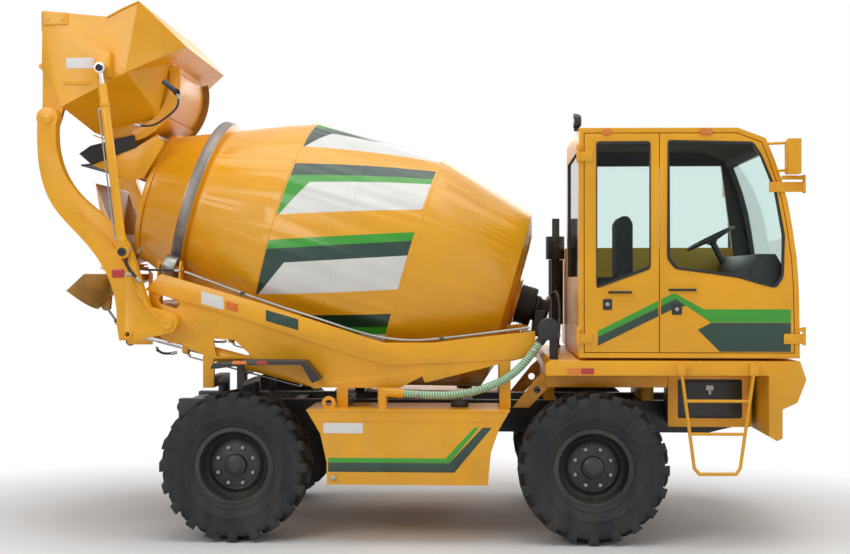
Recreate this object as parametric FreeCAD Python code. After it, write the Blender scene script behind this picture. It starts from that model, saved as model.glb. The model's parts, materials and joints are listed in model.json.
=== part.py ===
import FreeCAD, Part
import math
import os

V = FreeCAD.Vector

# ---------------------------------------------------------------------------
# Self-loading concrete mixer. Millimetres, +Z up, +X to the cab, -Y to the
# right-hand side, Z = 0 on the ground. The shapes are laid out about the
# middle of the wheelbase and moved by frame_shift when they are written.
# ---------------------------------------------------------------------------
frame_shift = V(20.0, 0.0, 0.0)

# running gear
wheelbase = 2570.0
tyre_radius = 537.5
tyre_width = 410.0
track = 1890.0
rim_radius = 279.0
lug_count = 20
lug_tip_radius = 533.0
lug_root_radius = 500.0
lug_foot_radius = 446.0
lug_inner_y = 118.0
lug_side_step = 6.0
side_wall_radius = 382.0
tyre_sides = 2 * lug_count
kingpin_y = 745.0
spindle_radius = 48.0
axle_z = tyre_radius

# chassis
rail_outer_y = 400.0
rail_inner_y = 300.0
rail_bottom_z = 720.0
rail_top_z = 960.0
rail_front_x = 2500.0
outrigger_length = 80.0
outriggers = ((-1540, 1090, 1160), (-560, 953, 1010), (620, 953, 1010))
tow_eye_radius = 50.0
tow_eye_width = 40.0
tow_hole_radius = 25.0
rear_tow_x = -1905.0
front_tow_x = 2680.0
tow_z = 860.0

hand_hole = ((-1470, 1448), (-1310, 1440), (-1190, 1330), (-1440, 1318))
oblong_hole = ((-1868, 1738), (-1850, 1760), (-1830, 1762), (-1722, 1722), (-1712, 1700), (-1722, 1676),
               (-1745, 1668), (-1855, 1704))

# drum, stations along its axis from the rear seam
drum_tilt = 16.4
drum_seam = V(-1049.0, 0.0, 2231.0)
drum_radius = 930.0
mouth_station = -1098.0
mouth_radius = 496.0
ring_station = -691.0
ring_radius = 697.0
ring_height = 34.0
front_seam_station = 1031.0
end_station = 1800.0
end_radius = 716.0
drum_wall = 8.0

# drum rollers
roller_radius = 90.0
roller_length = 90.0
roller_angle = 55.0
roller_leg_reach = 82.0

# loading arm and bucket
arm_pivot = V(-1774.0, 0.0, 1570.0)
arm_tube_centre = V(-2070.0, 0.0, 1645.0)
arm_tube_radius = 72.0
lever_pin = V(-2057.0, 0.0, 1484.0)
bucket_pin = V(-2651.0, 0.0, 3049.0)
bucket_rod_pin = V(-2247.0, 0.0, 3400.0)
bucket_base_pin = V(-2080.0, 0.0, 2078.0)
lift_base_pin = V(-720.0, 0.0, 1135.0)
arm_inner_y = 985.0
arm_outer_y = 1085.0
bucket_half_width = 1000.0
bucket_plate = 8.0
outlet_half_width = 480.0
gate_pivot = V(-2300.0, 0.0, 3412.0)
gate_radius = 468.0
gate_start = 246.0
gate_end = 322.0

# frame that carries the drum
cradle_inner_y = 890.0
cradle_outer_y = 960.0
side_plate_inner_y = 905.0
side_plate_outer_y = 945.0

# cab
cab_right_y = -1150.0
cab_left_y = 350.0
cab_wall = 40.0
cab_rear_x = 1177.0
cab_floor_z = 1328.0
deck_top_z = 1308.0
door_split_x = 1740.0
door_gap = 6.0
front_hinge = V(2738.0, -1168.0, 0.0)
rear_hinge = V(1170.0, -1168.0, 0.0)

# engine bay beside the cab
hood_right_y = 372.0
hood_left_y = 1150.0
hood_rear_x = 1180.0
hood_front_x = 2660.0
hood_bottom_z = 1330.0
hood_top_z = 2140.0
recess = 7.0

# chute
chute_axis_x = -2385.0
spout_half = 100.0
spout_top_z = 2008.0
spout_bottom_z = 1956.0
collar_radius = 155.0
carrier_inner_radius = 160.0
carrier_outer_radius = 190.0
chute_tilt_pin = V(-2385.0, 0.0, 1900.0)
chute_half_width = 190.0
chute_sheet = 6.0
inlet_round = 215.0
jack_base_pin = V(-2335.0, 0.0, 1385.0)
jack_eye_pin = V(-2530.0, 0.0, 1655.0)

weld_overrun = 0.006
pin_gap = 0.05
pivot_pin_radius = 30.0
cylinder_pin_radius = 22.0
bucket_cylinder_y = 1128.0
lift_cylinder_y = 850.0


# ------------------------------------------------------------------ helpers
def box(x0, x1, y0, y1, z0, z1):
    return Part.makeBox(x1 - x0, y1 - y0, z1 - z0, V(x0, y0, z0))


def rod(start, end, radius):
    along = end.sub(start)
    return Part.makeCylinder(radius, along.Length, start, along)


def tube(start, end, outer, inner):
    return rod(start, end, outer).cut(rod(start, end, inner))


def y_rod(centre, y0, y1, radius):
    return Part.makeCylinder(radius, y1 - y0, V(centre.x, y0, centre.z), V(0, 1, 0))


def face_of(points):
    return Part.Face(Part.makePolygon(points + [points[0]]))


def xz_prism(outline, y0, y1):
    points = [V(x, y0, z) for x, z in outline]
    return face_of(points).extrude(V(0, y1 - y0, 0))


def yz_prism(outline, x0, x1):
    points = [V(x0, y, z) for y, z in outline]
    return face_of(points).extrude(V(x1 - x0, 0, 0))


def plate(points, thickness):
    """Flat plate about a planar outline, its edges run on a little past the outline to weld with its neighbours."""
    face = face_of(points)
    middle = face.CenterOfMass
    face.scale(1 + weld_overrun, middle)
    normal = face.normalAt(0, 0)
    face.translate(normal * (-thickness / 2))
    return face.extrude(normal * thickness)


def join(shapes):
    result = shapes[0]
    if len(shapes) > 1:
        result = shapes[0].fuse(shapes[1:])
    return result.removeSplitter()


def mirrored(shape):
    return shape.mirror(V(0, 0, 0), V(0, 1, 0))


def spline_outline(first, second, y0, y1):
    """Prism between two smooth edges that share neither end."""
    first_edge = Part.BSplineCurve()
    first_edge.interpolate([V(x, y0, z) for x, z in first])
    second_edge = Part.BSplineCurve()
    second_edge.interpolate([V(x, y0, z) for x, z in second])
    a, b = V(first[0][0], y0, first[0][1]), V(first[-1][0], y0, first[-1][1])
    c, d = V(second[0][0], y0, second[0][1]), V(second[-1][0], y0, second[-1][1])
    edges = [first_edge.toShape(), Part.makeLine(b, d), second_edge.toShape(), Part.makeLine(c, a)]
    wire = Part.Wire(Part.__sortEdges__(edges))
    return Part.Face(wire).extrude(V(0, y1 - y0, 0))


nodes = {}


def keep(name, shape):
    nodes[name] = shape


# -------------------------------------------------------------- drum frame
tilt = math.radians(drum_tilt)
drum_along = V(math.cos(tilt), 0, -math.sin(tilt))
drum_up = V(math.sin(tilt), 0, math.cos(tilt))


def on_drum(station, height=0.0, side=0.0):
    return drum_seam + drum_along * station + drum_up * height + V(0, side, 0)


def drum_turned(profile):
    """Revolves (station, radius) points about the drum's axis."""
    face = face_of([on_drum(s, r) for s, r in profile])
    return face.revolve(drum_seam, drum_along, 360)


# ------------------------------------------------------------------- wheels
def wheel_centre(end, side):
    return V(end * wheelbase / 2, side * track / 2, axle_z)


def wheel_point(centre, y, radius, angle):
    """Point at a station y, a radius and an angle about the wheel's axis, angle 0 straight down."""
    return V(centre.x + radius * math.sin(angle), centre.y + y, centre.z - radius * math.cos(angle))


def faceted_ring(centre, profile, sides):
    """Solid ring of flat facets about the wheel's axis, resting on one facet."""
    step = 2 * math.pi / sides
    faces = []
    for i in range(sides):
        a0 = (i - 0.5) * step
        a1 = (i + 0.5) * step
        for (y0, r0), (y1, r1) in zip(profile, profile[1:] + profile[:1]):
            corners = [wheel_point(centre, y0, r0, a0), wheel_point(centre, y1, r1, a0),
                       wheel_point(centre, y1, r1, a1), wheel_point(centre, y0, r0, a1)]
            faces.append(face_of(corners))
    ring = Part.Solid(Part.makeShell(faces))
    if ring.Volume < 0:
        ring.reverse()
    return ring


def shoulder_lug(centre, y0, y1, angle):
    """One block of the tread's shoulder, as wide as one facet."""
    reach = math.pi / tyre_sides
    corners = []
    for radius, turn in ((lug_foot_radius, -reach), (lug_tip_radius, -reach),
                         (lug_tip_radius, reach), (lug_foot_radius, reach)):
        corners.append(wheel_point(centre, y0, radius, angle + turn))
    return face_of(corners).extrude(V(0, y1 - y0, 0))


def make_tyre(centre):
    """Faceted tread and side walls, with a ring of lugs on each shoulder."""
    half = tyre_width / 2
    wall = half - lug_side_step
    bead = half - 60
    vertex_radius = tyre_radius / math.cos(math.pi / tyre_sides)
    profile = [(-bead, rim_radius + 4), (-wall, side_wall_radius), (-wall, lug_root_radius),
               (-lug_inner_y, lug_root_radius), (-lug_inner_y, vertex_radius), (lug_inner_y, vertex_radius),
               (lug_inner_y, lug_root_radius), (wall, lug_root_radius), (wall, side_wall_radius),
               (bead, rim_radius + 4)]
    carcass = faceted_ring(centre, profile, tyre_sides)
    lugs = []
    for i in range(lug_count):
        angle = 2 * math.pi * i / lug_count
        lugs.append(shoulder_lug(centre, -half, -lug_inner_y, angle))
        lugs.append(shoulder_lug(centre, lug_inner_y, half, angle))
    return carcass.fuse(lugs).removeSplitter()


def make_rim(centre, side):
    """Dished disc wheel with a drop centre and its hub, which turns on the knuckle's spindle."""
    profile = [(-150, rim_radius), (-150, 250), (-60, 235), (10, 235), (34, 150), (34, spindle_radius + pin_gap),
               (110, spindle_radius + pin_gap), (110, 0), (122, 0), (122, 40), (104, 76), (60, 84), (56, 160),
               (40, 205), (70, 232), (150, 250), (150, rim_radius), (140, rim_radius), (130, 262),
               (-130, 262), (-140, rim_radius)]
    points = [centre + V(0, side * y, r) for y, r in profile]
    return face_of(points).revolve(centre, V(0, 1, 0), 360)


def make_knuckle(centre, side):
    """Steering knuckle: yoke above and below the kingpin, brake housing and spindle."""
    kingpin = V(centre.x, side * kingpin_y, axle_z)

    def across(y0, y1, radius):
        return rod(V(centre.x, side * y0, axle_z), V(centre.x, side * y1, axle_z), radius)

    centre_y = abs(centre.y)
    housing = across(kingpin_y + 66, centre_y + 26, 150)
    spindle = across(centre_y, centre_y + 104, spindle_radius)
    pieces = [housing, spindle]
    for low, high in ((118, 160), (-160, -118)):
        y0, y1 = sorted([side * (kingpin_y - 45), side * (kingpin_y + 80)])
        pieces.append(box(centre.x - 60, centre.x + 60, y0, y1, axle_z + low, axle_z + high))
    return join(pieces)


def make_axle(end):
    """Drive axle: round beam, differential, and yoke ends held between the kingpin bosses."""
    x = end * wheelbase / 2
    beam = rod(V(x, -kingpin_y + 40, axle_z), V(x, kingpin_y - 40, axle_z), 82)
    differential = Part.makeSphere(185, V(x, 40, axle_z))
    nose = rod(V(x, 40, axle_z), V(x - end * 330, 40, axle_z + 40), 85)
    ends = []
    for side in (-1, 1):
        ends.append(rod(V(x, side * kingpin_y, axle_z - 110), V(x, side * kingpin_y, axle_z + 110), 58))
    mounts = []
    for side in (-1, 1):
        y = side * 350
        mounts.append(box(x - 90, x + 90, y - 50, y + 50, axle_z + 40, rail_bottom_z))
    return join([beam, differential, nose] + ends + mounts)


for end, end_name in ((1, "front"), (-1, "rear")):
    keep(end_name + "_axle", make_axle(end))
    for side, side_name in ((-1, "right"), (1, "left")):
        centre = wheel_centre(end, side)
        keep("knuckle_%s_%s" % (end_name, side_name), make_knuckle(centre, side))
        keep("rim_%s_%s" % (end_name, side_name), make_rim(centre, side))
        keep("tyre_%s_%s" % (end_name, side_name), make_tyre(centre))


# ------------------------------------------------------------------ chassis
def tow_eye(root_x, eye_x, z):
    """Plate that stands out of a cross member, bored for a towing pin."""
    half = tow_eye_width / 2
    low, high = sorted([root_x, eye_x])
    blade = box(low, high, -half, half, z - tow_eye_radius, z + tow_eye_radius)
    blade = blade.fuse(y_rod(V(eye_x, 0, z), -half, half, tow_eye_radius))
    return blade.cut(y_rod(V(eye_x, 0, z), -half - 1, half + 1, tow_hole_radius))


def make_rail(side):
    """Box rail with the outriggers that carry the drum frame's legs."""
    outline = [(-1850, rail_bottom_z + 60), (-1560, rail_bottom_z), (2200, rail_bottom_z),
               (rail_front_x, rail_bottom_z + 75), (rail_front_x, rail_top_z), (-1850, rail_top_z)]
    low, high = sorted([side * rail_inner_y, side * rail_outer_y])
    pieces = [xz_prism(outline, low, high)]
    for x, low_z, high_z in outriggers:
        y0, y1 = sorted([side * (rail_outer_y - 60), side * side_plate_inner_y])
        pieces.append(box(x, x + outrigger_length, y0, y1, low_z, high_z))
        y0, y1 = sorted([side * (rail_outer_y - 60), side * rail_outer_y])
        pieces.append(box(x, x + outrigger_length, y0, y1, rail_top_z - 10, high_z))
    return join(pieces)


def make_cross_members():
    members = []
    for x in (-1820, -1000, -350, 330, 1000, 1700, 2400):
        members.append(box(x, x + 80, -rail_inner_y, rail_inner_y, rail_bottom_z + 80, rail_top_z - 20))
    members[0] = join([members[0], tow_eye(-1800, rear_tow_x, tow_z)])
    return Part.makeCompound(members)


keep("chassis_frame", Part.makeCompound([make_rail(-1), make_rail(1)]))
keep("frame_cross_members", make_cross_members())


def make_drum_frame():
    """Two inclined box rails with the side plates that carry the loading arms."""
    rail = [(-1849, 1921), (-1140, 1717), (-381, 1472), (-214, 1422), (148, 1422), (422, 1459), (874, 1506),
            (889, 1323), (558, 1294), (61, 1271), (-185, 1255), (-526, 1356), (-1194, 1576), (-1963, 1804)]
    side_plate = [(-1930, 1815), (-1930, 1600), (-1880, 1480), (-1790, 1415), (-1717, 1415), (-1630, 1370),
                  (-1474, 1301), (-1202, 1302), (-726, 1095), (-100, 1095), (60, 1180), (60, 1290),
                  (-185, 1275), (-526, 1376), (-1194, 1596)]
    brace = [(60, 1180), (82, 1132), (830, 1322), (830, 1345), (60, 1290)]
    pieces = []
    for side in (-1, 1):
        low, high = sorted([side * cradle_inner_y, side * cradle_outer_y])
        pieces.append(xz_prism(rail, low, high))
        low, high = sorted([side * side_plate_inner_y, side * side_plate_outer_y])
        pieces.append(xz_prism(side_plate, low, high))
        pieces.append(xz_prism(brace, low, high))
        pin_low, pin_high = sorted([side * (side_plate_inner_y - 20), side * (arm_outer_y + 10)])
        pieces.append(y_rod(arm_pivot, pin_low, pin_high, pivot_pin_radius))
    # front cross member, and the legs that stand on the chassis outriggers
    pieces.append(box(800, 880, -cradle_inner_y - 5, cradle_inner_y + 5, 1335, 1450))
    for (x, low_z, _), high_z in zip(outriggers, (1345, 1110, 1300)):
        for side in (-1, 1):
            y0, y1 = sorted([side * side_plate_inner_y, side * side_plate_outer_y])
            pieces.append(box(x, x + outrigger_length, y0, y1, low_z, high_z))
    frame = join(pieces)
    # openings in each side plate: an oblong hole, a hand hole and the lift cylinder's pin
    for side in (-1, 1):
        low, high = sorted([side * (side_plate_inner_y - 1), side * (side_plate_outer_y + 1)])
        frame = frame.cut(y_rod(lift_base_pin, low, high, pivot_pin_radius + pin_gap))
        frame = frame.cut(xz_prism(hand_hole, low, high)).cut(xz_prism(oblong_hole, low, high))
    return frame


keep("drum_frame", make_drum_frame())


def roller_centre(side):
    reach = ring_radius + ring_height + roller_radius
    lateral = math.sin(math.radians(roller_angle))
    down = math.cos(math.radians(roller_angle))
    return on_drum(ring_station, -reach * down, side * reach * lateral)


def make_roller_stand():
    """Cross beam between the side plates with a forked leg for each roller."""
    pieces = [box(-1900, -1820, -side_plate_inner_y, side_plate_inner_y, 1590, 1650)]
    for side in (-1, 1):
        centre = roller_centre(side)
        outline = [(side * 600, 1640), (side * 790, 1640), (side * (abs(centre.y) + 55), centre.z),
                   (side * (abs(centre.y) + 30), centre.z + 45), (side * (abs(centre.y) - 30), centre.z + 45),
                   (side * (abs(centre.y) - 55), centre.z)]
        for x in (centre.x - roller_leg_reach, centre.x + roller_leg_reach):
            pieces.append(yz_prism(outline, x - 6, x + 6))
        low, high = sorted([side * 600, side * 790])
        pieces.append(box(centre.x - roller_leg_reach - 6, centre.x + roller_leg_reach + 6, low, high, 1625, 1655))
        spindle = drum_along * (roller_leg_reach + 14)
        pieces.append(rod(centre - spindle, centre + spindle, 22))
    return join(pieces)


def make_roller(side):
    centre = roller_centre(side)
    half = drum_along * (roller_length / 2)
    return tube(centre - half, centre + half, roller_radius - 0.5, 22 + pin_gap)


keep("roller_stand", make_roller_stand())
keep("roller_right", make_roller(-1))
keep("roller_left", make_roller(1))


# --------------------------------------------------------------------- drum
def make_drum():
    outer = [(mouth_station, mouth_radius), (0.0, drum_radius), (front_seam_station, drum_radius),
             (end_station, end_radius), (end_station + 55, end_radius - 180), (end_station + 55, 0)]
    inner = [(end_station + 55 - drum_wall, 0), (end_station + 55 - drum_wall, end_radius - 184),
             (end_station - 4, end_radius - drum_wall), (front_seam_station, drum_radius - drum_wall),
             (0.0, drum_radius - drum_wall), (mouth_station, mouth_radius - drum_wall)]
    shell = drum_turned(outer + inner)
    slope = (drum_radius - mouth_radius) / -mouth_station
    base = drum_radius + slope * ring_station
    ring = drum_turned([(ring_station - 45, base - 26), (ring_station - 40, ring_radius + ring_height),
                        (ring_station + 40, ring_radius + ring_height), (ring_station + 45, base + 14)])
    collar = drum_turned([(mouth_station, mouth_radius - 2), (mouth_station, mouth_radius + 22),
                          (mouth_station + 40, mouth_radius + 32), (mouth_station + 40, mouth_radius + 12)])
    flange = rod(on_drum(end_station + 50), on_drum(end_station + 90), 190)
    stub = rod(on_drum(end_station + 85), on_drum(end_station + 150), 60)
    return join([shell, ring, collar, flange, stub])


keep("drum", make_drum())


def make_gearbox():
    """Slanted gearbox and hydraulic motor on a bracket between the drum frame's front ends."""
    start = end_station + 96
    body = rod(on_drum(start), on_drum(start + 130), 150)
    body = body.cut(rod(on_drum(start - 1), on_drum(start + 60), 60 + pin_gap))
    motor = rod(on_drum(start + 120), on_drum(start + 250), 85)
    hanger = xz_prism([(880, 1450), (940, 1450), (980, 1640), (900, 1640)], -260, 260)
    return join([body, motor, hanger, box(800, 881, -260, 260, 1450, 1470), box(880, 950, -260, 260, 1440, 1470)])


keep("drum_gearbox", make_gearbox())


# ------------------------------------------------------- hopper and collector
def make_hopper():
    wall = [(-2490, 2757), (-2142, 2893), (-2003, 2977), (-1926, 2930), (-2088, 2656), (-2200, 2640)]
    pieces = []
    for side in (-1, 1):
        low, high = sorted([side * 519, side * 525])
        pieces.append(xz_prism(wall, low, high))
    floor = [V(-2490, -520, 2757), V(-2490, 520, 2757), V(-2010, 240, 2650), V(-2010, -240, 2650)]
    pieces.append(plate(floor, 6))
    for side in (-1, 1):
        pieces.append(plate([V(-2490, side * 520, 2757), V(-2142, side * 520, 2893), V(-2010, side * 240, 2650)], 6))
        pieces.append(plate([V(-2142, side * 520, 2893), V(-2010, side * 240, 2860), V(-2010, side * 240, 2650)], 6))
    return join(pieces)


def make_hopper_lip():
    band = [(-2587, 2842), (-2498, 2903), (-2165, 2985), (-2142, 2893), (-2490, 2757)]
    pieces = []
    for side in (-1, 1):
        low, high = sorted([side * 525, side * 537])
        pieces.append(xz_prism(band, low, high))
    pieces.append(xz_prism([(-2572, 2748), (-2490, 2757), (-2480, 2768), (-2572, 2760)], -537, 537))
    return join(pieces).cut(nodes["feed_hopper"])


def collector_walls(gap):
    """Wide above, below the drum's mouth, and square at the spout; gap moves every wall inwards."""
    half = 470 - gap
    spout = spout_half - gap
    top = [V(-2480 + gap, -half, 2620 + gap), V(-2480 + gap, half, 2620 + gap), V(-2268 - gap, half, 2060 + gap),
           V(-2268 - gap, -half, 2060 + gap)]
    z = spout_top_z - gap
    low = [V(chute_axis_x - spout, -spout, z), V(chute_axis_x - spout, spout, z),
           V(chute_axis_x + spout, spout, z), V(chute_axis_x + spout, -spout, z)]
    spout_walls = box(chute_axis_x - spout, chute_axis_x + spout, -spout, spout, spout_bottom_z - gap, z + 1)
    return loft_box(top, low).fuse(spout_walls)


def make_collector():
    """Catches the mix below the drum's mouth; a collar on its spout carries the chute."""
    walls = collector_walls(0).cut(collector_walls(6))
    axis = V(chute_axis_x, 0, 0)
    collar = tube(axis + V(0, 0, 1958), axis + V(0, 0, 2004), collar_radius, collar_radius - 8)
    flange = tube(axis + V(0, 0, 1994), axis + V(0, 0, 2004), 184, collar_radius - 4)
    lip = tube(axis + V(0, 0, 1956), axis + V(0, 0, 1963), 175, collar_radius - 4)
    web = [box(chute_axis_x - 150, chute_axis_x + 150, -5, 5, 1965, 2000),
           box(chute_axis_x - 5, chute_axis_x + 5, -150, 150, 1965, 2000)]
    inside = box(chute_axis_x - spout_half + 6, chute_axis_x + spout_half - 6, -spout_half + 6, spout_half - 6,
                 1900, 2100)
    holder = join([collar, flange, lip] + web).cut(inside)
    return join([walls, holder.cut(collector_walls(3))])


def loft_box(top, low):
    wires = [Part.makePolygon(top + [top[0]]), Part.makePolygon(low + [low[0]])]
    return Part.makeLoft(wires, True, True)


keep("feed_hopper", make_hopper())
keep("hopper_lip", make_hopper_lip())
keep("discharge_collector", make_collector())


# -------------------------------------------------------------------- chute
carrier_ring_low = 1969.0
carrier_ring_top = 1982.0


def make_chute_carrier():
    """Swivel ring round the spout, with ears for the chute and a post for its screw jack."""
    axis = V(chute_axis_x, 0, 0)
    pieces = [tube(axis + V(0, 0, carrier_ring_low), axis + V(0, 0, carrier_ring_top), carrier_outer_radius,
                   carrier_inner_radius)]
    ear = [(chute_axis_x - 50, carrier_ring_top), (chute_axis_x + 50, carrier_ring_top), (chute_axis_x + 40, 1870),
           (chute_axis_x - 40, 1870)]
    for side in (-1, 1):
        low, high = sorted([side * (chute_half_width + 6), side * (chute_half_width + 18)])
        pieces.append(xz_prism(ear, low, high))
        low, high = sorted([side * (carrier_outer_radius - 30), side * (chute_half_width + 18)])
        pieces.append(box(chute_axis_x - 50, chute_axis_x + 50, low, high, carrier_ring_low, carrier_ring_top))
        low, high = sorted([side * (chute_half_width - 10), side * (chute_half_width + 8)])
        pieces.append(y_rod(chute_tilt_pin, low, high, 14))
    post = [(179, 1957), (179, 1971), (192, 1971), (225, 1925), (225, 1360), (203, 1360), (203, 1944), (193, 1957)]
    pieces.append(xz_prism([(chute_axis_x + x, z) for x, z in post], -30, 30))
    pieces.append(box(chute_axis_x + 30, chute_axis_x + 210, -30, -22, 1360, 1420))
    pieces.append(box(chute_axis_x + 30, chute_axis_x + 210, 22, 30, 1360, 1420))
    pieces.append(y_rod(jack_base_pin, -30, 30, 10))
    return join(pieces)


def chute_section(half, rise):
    """U outline square to the chute: half round below, upright sides of the given rise."""
    steps = 12
    points = [(half, rise)]
    for i in range(steps + 1):
        a = -math.pi * i / steps
        points.append((half * math.cos(a), half * math.sin(a)))
    points.append((-half, rise))
    return points


def chute_solid(half):
    slope = V(-0.736, 0, -0.677)
    upward = V(-0.677, 0, 0.736)
    start = V(-2173, 0, 2294)
    points = [start + V(0, y, 0) + upward * h for y, h in chute_section(half, 500)]
    return face_of(points).extrude(slope * 1000)


def make_chute():
    """Box-shaped inlet under the spout that runs into a half-round trough."""
    half = chute_half_width
    blank = xz_prism([(-2799, 1792), (-2655, 1925), (-2190, 1925), (-2190, 1879), (-2430, 1799), (-2480, 1700),
                      (-2590, 1635)], -half - 20, half + 20)
    low, high = V(chute_axis_x, 0, 1700), V(chute_axis_x, 0, 2000)
    inlet = blank.common(box(-2440, -2190, -half, half, low.z, high.z)).common(rod(low, high, inlet_round))
    hollow = xz_prism([(-2445, 1990), (-2196, 1990), (-2196, 1885), (-2430, 1806), (-2445, 1803)],
                      -half + chute_sheet, half - chute_sheet)
    hollow = hollow.common(rod(low, high, inlet_round - chute_sheet))
    body = blank.common(chute_solid(half)).fuse(inlet)
    body = body.cut(chute_solid(half - chute_sheet)).cut(hollow)
    lugs = []
    for side in (-1, 1):
        low, high = sorted([side * 17, side * 25])
        lugs.append(xz_prism([(-2575, 1670.5), (-2490, 1748.5), (-2500, 1640), (-2550, 1635)], low, high))
    lugs.append(y_rod(jack_eye_pin, -25, 25, 10))
    return join([body.cut(y_rod(chute_tilt_pin, -half - 1, half + 1, 14 + pin_gap))] + lugs)


keep("chute_carrier", make_chute_carrier())
keep("chute", make_chute())


# ------------------------------------------------------------- loading arms
def make_arm():
    outer_edge = [(-2722, 3060), (-2722, 2855), (-2705, 2680), (-2623, 2440), (-2400, 2180), (-2253, 1992),
                  (-2183, 1848), (-2140, 1560)]
    inner_edge = [(-2580, 3040), (-2576, 2810), (-2510, 2622), (-2400, 2477), (-2209, 2314), (-2060, 2130),
                  (-1980, 1900), (-1900, 1680)]
    pieces = []
    for side in (-1, 1):
        low, high = sorted([side * arm_inner_y, side * arm_outer_y])
        blade = spline_outline(outer_edge, inner_edge, low, high)
        foot = xz_prism([(-2140, 1560), (-2120, 1440), (-1990, 1440), (-1730, 1500), (-1700, 1570), (-1740, 1640),
                         (-1900, 1680)], low, high)
        boss = y_rod(arm_pivot, low, high, 75)
        head = y_rod(bucket_pin, low, high, 78)
        shape = join([blade, foot, boss, head])
        shape = shape.cut(y_rod(arm_pivot, low - 1, high + 1, pivot_pin_radius + pin_gap))
        pieces.append(shape)
        pin_low, pin_high = sorted([side * 920, side * (arm_outer_y + 12)])
        pieces.append(y_rod(bucket_pin, pin_low, pin_high, pivot_pin_radius))
        pin_low, pin_high = sorted([side * (lift_cylinder_y + 42), side * (arm_outer_y + 8)])
        pieces.append(y_rod(lever_pin, pin_low, pin_high, pivot_pin_radius))
        pin_low, pin_high = sorted([side * (arm_inner_y + 10), side * (bucket_cylinder_y + 26)])
        pieces.append(y_rod(bucket_base_pin, pin_low, pin_high, cylinder_pin_radius))
    pieces.append(y_rod(arm_tube_centre, -arm_inner_y - 5, arm_inner_y + 5, arm_tube_radius))
    return join(pieces)


keep("loading_arm", make_arm())


# ------------------------------------------------------------------- bucket
def polar(centre, radius, degrees):
    a = math.radians(degrees)
    return (centre.x + radius * math.cos(a), centre.z + radius * math.sin(a))


def sector(centre, inner, outer, start, stop, y0, y1):
    """Curved strip between two radii about an axis along Y."""

    def at(radius, degrees):
        x, z = polar(centre, radius, degrees)
        return V(x, y0, z)

    middle = (start + stop) / 2
    edges = [Part.Arc(at(outer, start), at(outer, middle), at(outer, stop)).toShape(),
             Part.makeLine(at(outer, stop), at(inner, stop)),
             Part.Arc(at(inner, stop), at(inner, middle), at(inner, start)).toShape(),
             Part.makeLine(at(inner, start), at(outer, start))]
    return Part.Face(Part.Wire(edges)).extrude(V(0, y1 - y0, 0))


def gate_arc(radius, degrees):
    return polar(gate_pivot, radius, degrees)


def make_bucket():
    """Shovel whose back narrows to an outlet, closed below by the sector gate."""
    w = bucket_half_width
    t = bucket_plate
    o = outlet_half_width
    lip = (-2712, 3843)
    heel = (-2719, 3413)
    bend = (-2570, 3147)
    crest = (-2005, 3905)
    dip = (-2233, 3794)
    fold = (-2096, 3390)
    rear = (-1728, 3625)
    rear_half = 700
    inner = gate_radius - 28
    low = gate_arc(inner, gate_start)
    corner = gate_arc(inner, 318)
    top_of_gate = gate_arc(inner, 377)

    def at(p, y):
        return V(p[0], y, p[1])

    half = [xz_prism([lip, heel, bend, fold, crest, dip], w - t, w)]
    half.append(plate([at(bend, w), at(low, o), at(fold, w)], t))
    half.append(plate([at(fold, w), at(low, o), at(corner, o)], t))
    half.append(plate([at(fold, w), at(corner, o), at(top_of_gate, o)], t))
    half.append(plate([at(fold, w), at(top_of_gate, o), at(rear, rear_half)], t))
    half.append(plate([at(fold, w), at(rear, rear_half), at(crest, w)], t))
    # outlet cheek, spacer and outer guide that hold the gate's edge between them
    half.append(sector(gate_pivot, 300, inner, gate_start + 2, 377, o, o + t))
    half.append(sector(gate_pivot, 424, inner, 286, 372, o + t - 1, o + 31))
    half.append(sector(gate_pivot, 410, gate_radius + 26, 286, 372, o + 30, o + 38))
    # pivot lug below the heel
    lug = xz_prism([(-2719, 3413), (-2722, 3049), (-2690, 2985), (-2610, 2985), (-2585, 3060), (-2560, 3150),
                    (-2560, 3200)], 930, 975)
    half.append(lug.cut(y_rod(bucket_pin, 929, 976, pivot_pin_radius + pin_gap)))
    # cylinder bracket and pin on the side wall
    half.append(xz_prism([(-2300, 3530), (-2194, 3530), (-2194, 3350), (-2300, 3350)], w - 2, w + 60))
    half.append(y_rod(bucket_rod_pin, w - 2, bucket_cylinder_y - 29, cylinder_pin_radius))
    shapes = half + [mirrored(shape) for shape in half]
    shapes.append(xz_prism([lip, heel, (heel[0] + t, heel[1] + 2), (lip[0] + t, lip[1])], -w, w))
    shapes.append(xz_prism([heel, bend, (bend[0] + t, bend[1] + 4), (heel[0] + t, heel[1] + 2)], -w, w))
    shapes.append(plate([at(bend, -w), at(low, -o), at(low, o), at(bend, w)], t))
    shapes.append(plate([at(crest, -w), at(rear, -rear_half), at(rear, rear_half), at(crest, w)], t))
    shapes.append(plate([at(rear, -rear_half), at(top_of_gate, -o), at(top_of_gate, o), at(rear, rear_half)], t))
    shapes.append(sector(gate_pivot, inner - t, inner, 314, 378, -o - 1, o + 1))
    return join(shapes)


def make_gate():
    """Curved door of the outlet; its edges run between the cheeks and the outer guides."""
    reach = outlet_half_width + 24
    skin = sector(gate_pivot, gate_radius - 8, gate_radius, gate_start, gate_end, -reach, reach)
    rib = sector(gate_pivot, gate_radius - 4, gate_radius + 40, 300, 302, -300, 300)
    return join([skin, rib])


keep("bucket", make_bucket())
keep("bucket_gate", make_gate())


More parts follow.
